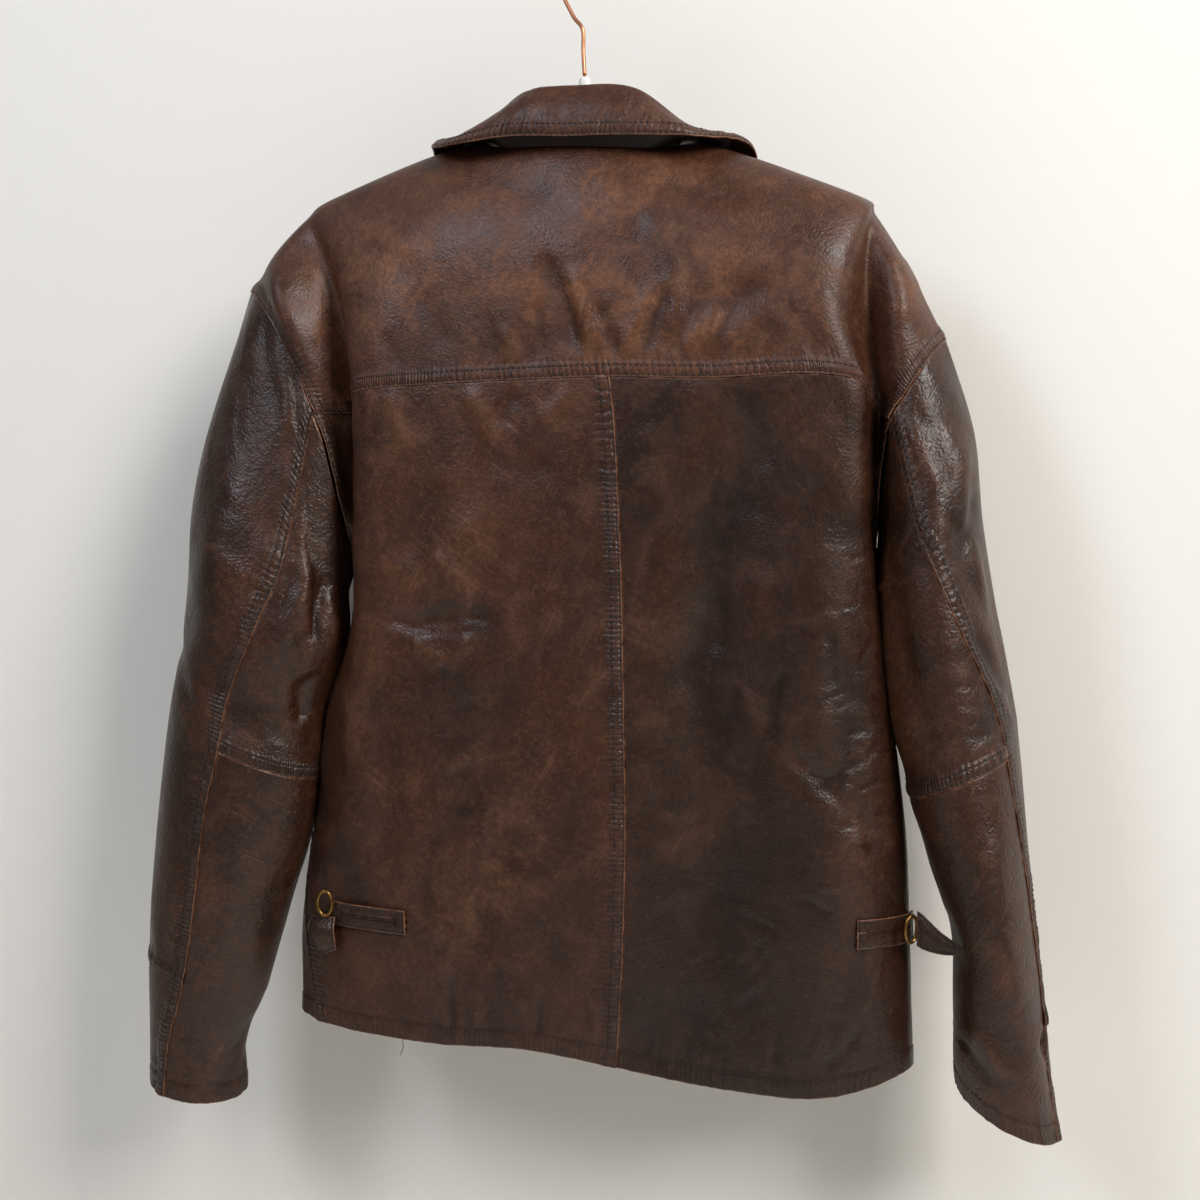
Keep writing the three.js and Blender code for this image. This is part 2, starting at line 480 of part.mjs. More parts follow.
// Waist adjusters: straps that lie on the back panels, brass rings and loose strap ends. The straps'
// inner lines are lines of the panels under them, so they follow the panels' faces.
const STRAP_LIFT = WALL / 2 + STRAP_WALL / 2 + 0.5;
const STRAP_LEFT = { us: [2.12, 2.5, 3, 3 + 1 / 3, 3.62], vs: [10.84, 11, 11.06] };
const STRAP_RIGHT = { us: [8.7, 9, 9.5, 10, 10.4], vs: [10.62, 10 + 2 / 3, 10.87] };
function addTabs() {
  const onBack = { thickness: STRAP_WALL, lift: -STRAP_LIFT };
  add("tab_left", panel(back, STRAP_LEFT.us, STRAP_LEFT.vs, onBack), LEATHER_DARK);
  add("tab_right", panel(back, STRAP_RIGHT.us, STRAP_RIGHT.vs, onBack), LEATHER_DARK);
  const loop = net([
    [[-210, -38, -722], [-200, -42, -721], [-187, -44, -720]],
    [[-211, -43, -731], [-200, -47.5, -731], [-186, -48.5, -729]],
    [[-206, -44, -740], [-198, -47.5, -741], [-185, -48, -738]],
    [[-199, -43, -749], [-193, -45.5, -748], [-186, -46.5, -745]],
  ]);
  add("tab_left_loop", panel(loop, steps(0, 2, 4), steps(0, 3, 5), { thickness: STRAP_WALL }), LEATHER_DARK);
  const end = net([
    [[249, -28, -684], [254, -29, -687], [264, -33, -695], [274, -36, -701], [280.5, -38, -705]],
    [[249, -29, -696], [254, -31, -698], [264, -34, -703], [274, -37, -705.5], [281, -38.5, -706.5]],
    [[249, -28, -709], [254, -29, -711], [264, -33, -712], [274, -36, -711], [280.5, -38, -708]],
  ]);
  add("tab_right_end", panel(end, steps(0, 4, 8), steps(0, 2, 3), { thickness: STRAP_WALL }), LEATHER_DARK);
  addRing("ring_left", [-195, -45.5, -709.5], 0.1);
  addRing("ring_right", [245.2, -30, -697], 0.9);
}

// A ring of the waist adjusters, taller than wide, its flat side turned about the upright
function addRing(name, centre, turn) {
  const geometry = new THREE.TorusGeometry(RING_RADIUS, RING_WIRE / 2, 8, 18);
  add(name, geometry, BRASS, (mesh) => {
    mesh.scale.set(RING_NARROWING, 1, 1);
    mesh.rotation.set(Math.PI / 2, 0, turn, "ZXY");
    mesh.position.set(...centre);
  });
}

// Front surface of the left front on its button line, found at a height
function onFrontLeft(z) {
  let low = 0;
  let high = FRONT_HEM;
  const u = FRONT_EDGE - BUTTON_PLACE;
  for (let i = 0; i < 30; i++) {
    const middle = (low + high) / 2;
    if (frontLeft(u, middle).z > z) low = middle;
    else high = middle;
  }
  return frontLeft(u, low);
}

function addButtons() {
  const shoulder = BUTTON_THICKNESS * 0.6;
  const dish = BUTTON_THICKNESS * 0.7;
  const profile = [
    [0, 0],
    [BUTTON_RADIUS, 0],
    [BUTTON_RADIUS, shoulder],
    [BUTTON_RADIUS - 1, BUTTON_THICKNESS],
    [BUTTON_RADIUS - 2.5, BUTTON_THICKNESS],
    [BUTTON_RADIUS - 3.5, dish],
    [0, dish],
  ].map(([r, h]) => new THREE.Vector2(r, h));
  BUTTON_HEIGHTS.forEach((z, i) => {
    const seat = onFrontLeft(z);
    add("button_" + (i + 1), new THREE.LatheGeometry(profile, 14), HORN, (mesh) => {
      mesh.position.set(BUTTON_LINE, seat.y + WALL / 2 + BUTTON_GAP, z);
    });
  });
}

// The hanger: a flat body with two arms, and a wire hook whose arc bears at the origin
function addHanger() {
  const rightTop = [
    [4, HANGER_TOP - 1], [6.5, -102], [20, -103], [38, -107], [52, -120], [64, -136], [74, -148],
    [94, -154], [120, -164], [150, -176], [186, -191.5], [194, -197],
  ];
  const rightBottom = [
    [196, -203], [190, -206], [170, -199], [140, -187], [105, -173], [80, -165], [62, -152], [46, -138],
    [30, -125], [0, -119],
  ];
  const leftBottom = [
    [-30, -124], [-48, -139], [-64, -153], [-85, -161], [-110, -168], [-150, -177], [-186, -190],
    [-195, -188],
  ];
  const leftTop = [
    [-194, -182], [-186, -175.5], [-150, -163.5], [-117, -154.5], [-92, -147.5], [-74, -146.5], [-62, -133],
    [-52, -119], [-38, -107], [-20, -103], [-6.5, -102], [-4, HANGER_TOP - 1], [0, HANGER_TOP],
  ];
  const corners = [...rightTop, ...rightBottom, ...leftBottom, ...leftTop];
  const outline = new THREE.Shape(corners.map(([x, z]) => new THREE.Vector2(x, z)));
  const body = new THREE.ExtrudeGeometry(outline, { depth: HANGER_DEPTH, bevelEnabled: false });
  add("hanger", body, WHITE_PLASTIC, (mesh) => {
    mesh.rotation.x = Math.PI / 2;
    mesh.position.y = HANGER_DEPTH / 2;
  });
  const centre = WIRE / 2 - HOOK_RADIUS;
  const arc = steps(-155, 55, 9).map((degrees) => {
    const angle = THREE.MathUtils.degToRad(degrees);
    return [HOOK_RADIUS * Math.sin(angle), 0, centre + HOOK_RADIUS * Math.cos(angle)];
  });
  const stem = [[0, 0, HANGER_TOP + 0.4], [-1, 0, -76], [-1.5, 0, -60], [-8, 0, -51]];
  add("hanger_hook", rod([...stem, ...arc.slice(1)], WIRE, 60), COPPER);
}

addBody();
addCollar();
addSleeve("left", sleeveLeft);
addSleeve("right", sleeveRight);
addTabs();
addButtons();
addHanger();

export default jacket;
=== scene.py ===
"""Dresses the frame of a worn brown leather jacket on a plastic hanger, seen from the back.

Every piece lies on the surface of its CAD solid, worked out again here from the same points. Numbers in
tables and shapes are millimetres, +Z up, the jacket's back towards -Y. Meshes are metres.
"""
import math

import bpy
import numpy as np
from mathutils import Matrix, Vector


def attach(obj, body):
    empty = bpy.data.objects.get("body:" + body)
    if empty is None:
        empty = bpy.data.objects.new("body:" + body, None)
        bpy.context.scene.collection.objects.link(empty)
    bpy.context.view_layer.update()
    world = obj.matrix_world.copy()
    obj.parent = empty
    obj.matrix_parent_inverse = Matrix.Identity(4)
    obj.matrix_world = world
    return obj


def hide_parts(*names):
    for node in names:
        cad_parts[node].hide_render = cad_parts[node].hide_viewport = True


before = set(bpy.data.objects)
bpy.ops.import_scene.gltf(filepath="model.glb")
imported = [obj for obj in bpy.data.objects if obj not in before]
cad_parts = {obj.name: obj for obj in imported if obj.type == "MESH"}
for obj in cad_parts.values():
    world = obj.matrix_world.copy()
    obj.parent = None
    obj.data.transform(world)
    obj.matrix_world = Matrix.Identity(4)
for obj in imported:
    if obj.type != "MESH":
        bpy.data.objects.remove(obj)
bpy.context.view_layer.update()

bl_info = {
    "name": "Worn leather jacket",
    "version": (1, 0, 0),
    "blender": (4, 5, 0),
    "location": "3D View > Sidebar > Jacket",
    "description": "Builds the leather, stitching and fittings of a worn leather jacket on its hanger",
    "category": "Object",
}

MM = 0.001

# Construction of the jacket
COLLAR_WALL = 1.8  # two layers of leather
STRAP_WALL = 2.2  # a folded strap
ARMHOLE_DROP = 0.3
ARMPIT_CLEARANCE = 3
YOKE_SEAM = 4  # lines of the back: 0 shoulder and neck, 4 yoke seam, 7 armpit, 12 hem
ARMPIT = 7
HEM = 12
CENTRE = 6  # across: 0 left side, 6 centre seam, 12 right side
FRONT_ARMPIT = 4
FRONT_HEM = 9
FRONT_NECK = 3
FRONT_EDGE = 5
BACK_SEAM = 2  # places round a sleeve: 0 outer side, 2 back seam, 4 inner side, 5 under seam
UNDER_SEAM = 5
ROUND = 8
ELBOW = 5  # rings down a sleeve: 0 armhole, 5 elbow seam, 8 forearm seam, 10 cuff
FOREARM = 8
CUFF = 10
ROUND_SCALE = 42  # millimetres round the sleeve for one place
DOWN_SCALE = 55  # millimetres down the sleeve for one ring
COLLAR_END = 12  # places along the collar: 0 left end, 3 left shoulder, 6 centre back, 12 right end
COLLAR_SHOULDER = 3
COLLAR_REACH = 1.78  # places of a front's top line that the collar covers
COLLAR_SCALE = (40, 42)  # millimetres along and down the collar for one place
FALL_BULGE = 4
FALL_ROLL = 0.1  # share of the fall's height in which it rolls over the fold to the inside
TURN_IN = 0.16  # share of the fall's height that is turned in, with the roll
TURN_IN_DROP = 20  # millimetres the turned-in strip goes down for one such height
STAND_GAP = 2.6  # from the stand's top to the fall's fold
STAND_FOOT = 1.8  # the stand starts this far above the neck seam
STAND_HEM = 0.6  # how far the stand goes down inside the neck, as a share of its height
STAND_HEM_PLACES = 1.9  # places from the centre back at which that hem is whole
STAND_HEM_LEAST = 0.3

# Nets: rows of points from the neck or shoulder down to the hem, each from the side inwards or, on the
# back, from the left side to the right
BACK_NET = [
    [(-274, 2, -238), (-248, 6, -206), (-222, 8, -183), (-200, 8, -170), (-92, 8, -139), (-50, -26, -146),
      (4, -36, -150), (56, -27, -153), (94, 8, -148), (197, 8, -187), (210, 8, -201), (233, 6, -238),
      (259, 2, -288)],
    [(-256, -20, -246), (-243, -22, -220), (-217, -13, -192), (-192, -17, -178), (-100, -18, -148),
      (-50, -37, -162), (7, -44, -166), (62, -38, -168), (102, -18, -158), (196, -22, -197),
      (209, -14, -212), (230, -22, -247), (252, -18, -298)],
    [(-236, -30, -268), (-226, -41, -250), (-197, -17, -235), (-174, -36, -225), (-106, -46, -200),
      (-46, -52, -207), (16, -54, -209), (78, -52, -210), (138, -44, -208), (193, -41, -232),
      (207, -18, -250), (227, -31, -276), (245, -28, -310)],
    [(-219, -32, -300), (-206, -34, -296), (-183, -10, -285), (-165, -47, -275), (-103, -54, -258),
      (-38, -57, -260), (25, -58, -261), (94, -56, -261), (155, -52, -260), (191, -47, -273),
      (209, -13, -292), (224, -26, -312), (236, -32, -326)],
    [(-206, -30, -335), (-190, -13, -334), (-177, -5, -331), (-161, -50, -320), (-98, -56, -316),
      (-30, -57, -314), (34, -57, -313), (106, -56, -315), (170, -53, -313), (205, -46, -318),
      (209, -20, -331), (217, -8, -339), (226, -30, -344)],
    [(-198, -28, -357), (-186, -12, -357), (-176, -5, -355), (-162, -49, -352), (-98, -55, -352),
      (-28, -57, -353), (38, -56, -355), (108, -53, -355), (172, -52, -354), (205, -44, -355),
      (210, -21, -358), (215, -5, -361), (221, -14, -364)],
    [(-190, -22, -400), (-182, -9, -400), (-174, -8, -400), (-164, -46, -400), (-98, -54, -400),
      (-27, -56, -401), (40, -55, -402), (108, -49, -402), (172, -52, -402), (206, -41, -402),
      (211, -21, -403), (213, -4, -404), (215, -1, -405)],
    [(-189, 2, -450), (-181, -8, -450), (-174, -22, -450), (-163, -45, -450), (-98, -53, -450),
      (-26, -55, -450), (42, -54, -450), (109, -47, -450), (174, -52, -450), (207, -38, -450),
      (214, -20, -450), (215, -3, -450), (211, 8, -450)],
    [(-196, 12, -505), (-190, -6, -505), (-179, -25, -505), (-162, -43, -505), (-98, -52, -505),
      (-25, -55, -505), (43, -53, -505), (110, -46, -505), (176, -51, -505), (208, -38, -505),
      (220, -19, -505), (220, -1, -505), (214, 15, -505)],
    [(-212, 8, -565), (-204, -10, -565), (-188, -28, -565), (-162, -43, -565), (-99, -52, -565),
      (-25, -54, -565), (44, -53, -565), (110, -46, -565), (178, -51, -565), (211, -37, -565),
      (227, -17, -565), (227, 2, -565), (219, 20, -565)],
    [(-221, 0, -640), (-212, -15, -640), (-193, -31, -640), (-162, -43, -640), (-100, -51, -640),
      (-26, -54, -640), (45, -53, -640), (109, -46, -640), (180, -51, -640), (215, -36, -640),
      (236, -14, -640), (236, 6, -640), (226, 25, -640)],
    [(-222, -24, -722), (-210, -32, -722), (-192, -38, -722), (-161, -44, -722), (-101, -50, -722),
      (-28, -53, -722), (43, -52, -722), (107, -46, -722), (180, -50, -722), (217, -36, -722),
      (240, -13, -722), (240, 8, -722), (229, 27, -722)],
    [(-206, -37, -806), (-190, -42, -806), (-174, -45, -807), (-150, -47, -808), (-98, -49, -809),
      (-32, -51, -805), (38, -51, -811), (104, -47, -819), (176, -49, -819), (217, -36, -812),
      (243, -13, -804), (243, 8, -806), (231, 27, -808)],
]
# Main creases: a line of (x, z), its width and its depth, over 0 for a trough and under 0 for a ridge
BACK_CREASES = [
    ([(96, -372), (104, -450), (98, -560), (104, -680), (92, -760)], 16, 4),
    ([(-70, -390), (-78, -480), (-66, -560)], 18, -3),
    ([(-150, -486), (-112, -492), (-70, -488)], 7, 3),
    ([(-30, -600), (-62, -680), (-70, -760)], 16, 3),
    ([(150, -560), (190, -600), (214, -640)], 8, 3),
    ([(60, -190), (78, -240), (88, -296)], 10, -3),
    ([(-150, -540), (-140, -620), (-148, -690)], 14, 4),
]
LEFT_NET = [
    [(-274, 2, -238), (-222, 8, -183), (-150, 8, -155), (-92, 8, -139), (-52, 45, -193), (14, 54, -220)],
    [(-246, 28, -262), (-212, 34, -225), (-150, 36, -205), (-100, 40, -200), (-52, 52, -222),
      (14, 57, -246)],
    [(-222, 34, -305), (-196, 36, -290), (-150, 46, -275), (-100, 52, -270), (-48, 56, -275),
      (14, 58, -288)],
    [(-202, 30, -365), (-186, 34, -350), (-150, 48, -345), (-100, 55, -346), (-45, 58, -348),
      (14, 59, -350)],
    [(-189, 2, -450), (-178, 30, -425), (-148, 47, -420), (-98, 55, -420), (-44, 58, -420), (14, 59, -420)],
    [(-196, 12, -505), (-182, 32, -500), (-150, 46, -498), (-98, 54, -498), (-44, 58, -498),
      (14, 59, -497)],
    [(-212, 8, -565), (-196, 33, -565), (-155, 46, -565), (-98, 53, -565), (-43, 57, -565), (14, 58, -565)],
    [(-221, 0, -640), (-208, 30, -640), (-162, 45, -640), (-100, 52, -640), (-43, 56, -640),
      (14, 57, -640)],
    [(-222, -24, -722), (-232, 8, -722), (-180, 40, -722), (-105, 51, -722), (-44, 55, -722),
      (14, 56, -722)],
    [(-206, -37, -806), (-232, -8, -807), (-196, 34, -808), (-110, 49, -809), (-45, 54, -810),
      (14, 55, -810)],
]
RIGHT_NET = [
    [(259, 2, -288), (210, 8, -201), (150, 8, -169), (94, 8, -148), (58, 43, -197), (-14, 49, -219)],
    [(250, 28, -312), (208, 34, -245), (150, 36, -215), (100, 40, -205), (56, 50, -225), (-14, 52.8, -246)],
    [(236, 36, -345), (200, 38, -305), (150, 46, -282), (100, 51, -272), (52, 54, -276), (-14, 55, -288)],
    [(220, 32, -392), (196, 38, -362), (150, 47, -350), (100, 53, -348), (48, 56, -348), (-14, 56.5, -350)],
    [(211, 8, -450), (192, 34, -425), (150, 47, -420), (100, 53, -420), (48, 56, -420), (-14, 56.5, -420)],
    [(214, 15, -505), (196, 36, -500), (150, 46, -498), (100, 52, -498), (47, 55, -498), (-14, 56.5, -497)],
    [(219, 20, -565), (200, 38, -565), (152, 46, -565), (100, 51, -565), (46, 54, -565), (-14, 55.5, -565)],
    [(226, 25, -640), (204, 40, -640), (154, 46, -640), (100, 50, -640), (46, 53, -640), (-14, 54.5, -640)],
    [(229, 27, -722), (206, 41, -722), (155, 46, -722), (100, 49, -722), (45, 52, -722), (-14, 53.5, -722)],
    [(231, 27, -808), (208, 40, -809), (156, 45, -810), (100, 48, -810), (44, 51, -810), (-14, 52.5, -810)],
]
FRONT_CREASES = [
    ([(-120, -300), (-132, -420), (-120, -560)], 16, 4),
    ([(-70, -560), (-86, -660), (-80, -760)], 16, 3),
    ([(120, -300), (130, -430), (118, -560)], 16, 4),
    ([(90, -580), (104, -680), (98, -760)], 16, 3),
]
# Sleeve ovals from below the armhole to the cuff: centre x, y, z, half width, half depth, lean, and the
# angle of the back seam in degrees
LEFT_RINGS = [
    (-246, -6, -398, 56, 40, 63, 115),
    (-255, -10, -440, 63, 44, 35, 116),
    (-259, -12, -500, 66, 47, 12, 101),
    (-275, -12, -550, 58, 43, 18, 95),
    (-279, -12, -592, 61, 46, 26, 91),
    (-288, -12, -648, 62, 46, 18, 87),
    (-302, -12, -712, 57, 44, 10, 90),
    (-317, -12, -783, 48, 39, 14, 90),
    (-327, -12, -835, 39, 35, 6, 80),
    (-328, -12, -880, 38, 36, 5, 74),
]
RIGHT_RINGS = [
    (250, 8, -405, 29, 52, 52, 100),
    (254.5, 8, -442, 31.5, 57, 27, 87),
    (262, 8, -495, 36, 60, 10, 64),
    (271, 7, -547, 37, 59, 12, 42),
    (277, 6, -589, 37, 58, 18, 37),
    (288, 4, -645, 33, 57, 8, 26),
    (300.5, 2, -705, 28.5, 55, 2, 18),
    (305, 0, -762, 31, 50, 0, 16),
    (308, 0, -800, 33, 45, -5, 16),
    (312, 0, -830, 35, 40, -16, 16),
]
# Main creases of the sleeves, their lines in places round and rings down
LEFT_CREASES = [
    ([(2.5, 0.9), (2.6, 2), (2.5, 3.6)], 9, -3.5),
    ([(3.0, 1.2), (3.1, 2.4), (2.9, 3.4)], 8, 4),
    ([(1.2, 0.5), (1.3, 1.6), (1.0, 3)], 12, -3),
    ([(2.3, 5.6), (2.7, 6.6), (2.6, 8)], 11, -3),
    ([(3.2, 3.4), (3.6, 4.2)], 9, 5),
]
RIGHT_CREASES = [
    ([(0.9, 0.6), (1.0, 1.8), (0.8, 3)], 9, -3),
    ([(0.4, 1.6), (1.3, 2.2)], 7, 3),
    ([(2.3, 5.4), (2.8, 6.6), (2.5, 8)], 10, -3),
    ([(2.1, 8), (1.6, 9.1)], 8, 4),
    ([(3.1, 2), (3.2, 3.4), (3.0, 4.6)], 10, 3),
]
# The collar's fold and the edge of its fall, from the left end round the back to the right end
FOLD_LINE = [
    (-2, 61, -209), (-60, 49, -175), (-86, 30, -148), (-100, 9, -131), (-69, -24, -130), (-32, -40, -112),
    (6, -43, -111), (48, -40, -115), (82, -24, -138), (107, 10, -142), (89, 30, -155), (64, 47, -180),
    (2, 58, -209),
]
FALL_EDGE = [
    (-56, 61, -266), (-94, 50, -222), (-114, 34, -174), (-120, 5, -140), (-97, -36, -146), (-44, -48, -144),
    (4, -50, -147), (40, -49, -148), (92, -40, -151), (122, 5, -150.5), (117, 34, -182), (97, 50, -224),
    (56, 60, -266),
]

# Waist rings: name, centre and turn about Z in radians; each is narrowed to an oval
RINGS = (("ring_left", (-195, -45.5, -709.5), 0.1), ("ring_right", (245.2, -30, -697), 0.9))
RING_RADIUS = 9.5
RING_NARROWING = 0.6
BUTTON_HEIGHTS = (-262, -386, -510, -634, -758)
BUTTON_INSET = 0.24  # places between the button line and the front's edge
BUTTON_SEAT = 1.4  # from the middle of the front's leather to a button's back
# A button's profile: millimetres in from its radius, and height
BUTTON_PROFILE = (
    (0.6, 0), (0.15, 0.35), (0, 0.9), (0, 1.9), (0.3, 2.7), (1, 3.1), (1.7, 3.2), (2.4, 3.1), (3, 2.7),
    (3.6, 2.35), (4.6, 2.24),
)
BUTTON_DISH = 2.24  # height of the dish's floor
# The straps sewn on the back panels, as ranges across and down the back's net
STRAP_PLACES = (
    ("tab_left", (2.12, 3.62), (10.84, 11.06), "back_left"),
    ("tab_right", (8.7, 10.4), (10.62, 10.87), "back_right"),
)
STRAP_GAP = 0.6  # between a strap and its panel
# Cross stitching of the right strap: lines across and down the back's net, as u, v to u, v
CROSS_STITCHED = ((8.8, 10.65, 9.28, 10.84), (8.8, 10.84, 9.28, 10.65), (9.3, 10.64, 9.3, 10.85))
# The loose ends of the straps: the left one's loop through its ring, and the right one's pointed end
LOOP_NET = [
    [(-210, -38, -722), (-200, -42, -721), (-187, -44, -720)],
    [(-211, -43, -731), (-200, -47.5, -731), (-186, -48.5, -729)],
    [(-206, -44, -740), (-198, -47.5, -741), (-185, -48, -738)],
    [(-199, -43, -749), (-193, -45.5, -748), (-186, -46.5, -745)],
]
END_NET = [
    [(249, -28, -684), (254, -29, -687), (264, -33, -695), (274, -36, -701), (280.5, -38, -705)],
    [(249, -29, -696), (254, -31, -698), (264, -34, -703), (274, -37, -705.5), (281, -38.5, -706.5)],
    [(249, -28, -709), (254, -29, -711), (264, -33, -712), (274, -36, -711), (280.5, -38, -708)],
]
# Upper and lower line of the hanger's arms, from the left tip to the right tip, as (x, z)
HANGER_TOP_LINE = [
    (-195, -184), (-186, -175.5), (-150, -163.5), (-117, -154.5), (-92, -147.5), (-74, -146.5), (-62, -133),
    (-52, -119), (-38, -107), (-20, -103), (0, -102.5), (20, -103), (38, -107), (52, -120), (64, -136),
    (74, -148), (94, -154), (120, -164), (150, -176), (186, -191.5), (195, -199),
]
HANGER_BOTTOM_LINE = [
    (-194, -189), (-186, -190), (-150, -177), (-110, -168), (-85, -161), (-72, -156), (-60, -148),
    (-46, -137.5), (-34, -127), (-18, -121), (0, -119), (18, -121), (34, -128), (46, -138), (60, -150.5),
    (72, -160), (92, -169), (118, -178), (150, -191), (186, -204.5), (194, -204.5),
]
HANGER_DEPTH = 4  # half the arms' thickness from front to back
HANGER_SQUARENESS = 0.6  # power of the arms' section: 1 is an oval, 0 a rectangle
HANGER_TIP = 30  # power of the taper at the arms' tips: higher is blunter
# The neck that holds the hook: height and radius
HANGER_NECK = (
    (-110, 6.4), (-106, 6.4), (-103, 6.1), (-101, 5.2), (-98, 4.3), (-95.4, 4.0), (-94.4, 3.3),
    (-94.02, 1.6),
)
HOOK_RADIUS = 22
HOOK_STEM = ((0, 0, -93.6), (-1, 0, -76), (-1.5, 0, -60), (-8, 0, -51))
HOOK_ARC = (-155, 55, 10)  # degrees from the top at which the arc starts and ends, and its points

# The stage, in metres and watts. Lights: name, place, target, size, power, colour
WALL_Y = 0.12
WALL_TOP = 1.6
FLOOR_Z = -1.6
STAGE_REACH = 3.5
ROOM_COLOUR = "#e9e7e1"
CAMERA_PLACE = (0.3148, -1.0574, -0.3865)
CAMERA_AZIMUTH = 16.0
CAMERA_DROP = 4.6
CAMERA_SENSOR = 36
CAMERA_FOCAL = 1480 / 1200  # focal length over the frame's width
LIGHTS = (
    ("window_right", (1.9, -1.5, 1.1), (0.1, 0.0, -0.35), (0.8, 1.3), 78, "#fffcf8"),
    ("window_left", (-1.1, -1.9, 1.0), (-0.1, 0.0, -0.3), (0.7, 0.9), 24, "#e8f0ff"),
    ("far_side", (-0.9, 2.2, 0.7), (0.0, 0.0, -0.45), (1.4, 1.4), 22, "#fffcf8"),
)

# The photo's wrinkles one by one, as the main creases are given: (x, z) on the body, and millimetres round
# and down a sleeve. The back and the sleeves start with the bulges that they have towards each other.
YOKE_WRINKLES = [
    ([(-15, -222), (-5, -250), (9, -282), (13, -302)], 7, 2.55),
    ([(6, -234), (16, -267), (23, -297)], 7, -2.72),
    ([(-18, -259), (-16, -281), (-15, -303)], 1.3, 1.53),
    ([(28, -261), (34, -282), (38, -303)], 5, 2.04),
    ([(69, -248), (53, -283), (46, -301)], 7, -2.21),
    ([(81, -251), (68, -275), (57, -304)], 6, 2.38),
    ([(93, -257), (86, -283), (76, -304)], 6, 1.7),
    ([(118, -268), (100, -284), (86, -301)], 7, -2.04),
    ([(145, -250), (123, -265), (107, -286)], 6, 1.53),
    ([(155, -264), (131, -282), (113, -298)], 7, -1.53),
    ([(64, -180), (103, -193), (132, -197)], 5, 1.19),
    ([(54, -197), (98, -212), (132, -222)], 4, 0.68),
    ([(-193, -186), (-139, -210), (-92, -229)], 7, -1.02),
    ([(-114, -245), (-97, -274), (-85, -294)], 9, 1.53),
    ([(-46, -274), (-38, -291), (-31, -303)], 6, -1.36),
    ([(-61, -259), (-54, -283), (-53, -304)], 6, 1.19),
    ([(223, -229), (235, -251), (231, -285)], 7, -2.21),
    ([(-211, -216), (-204, -256), (-204, -289)], 5, -1.7),
    ([(-139, -277), (-129, -293), (-125, -308)], 5, 1.02),
    ([(23, -163), (35, -192), (42, -221)], 9, -0.85),
    ([(-78, -162), (-34, -181), (-4, -176)], 12, 0.85),
    ([(166, -285), (175, -296), (179, -304)], 5, 1.02),
]
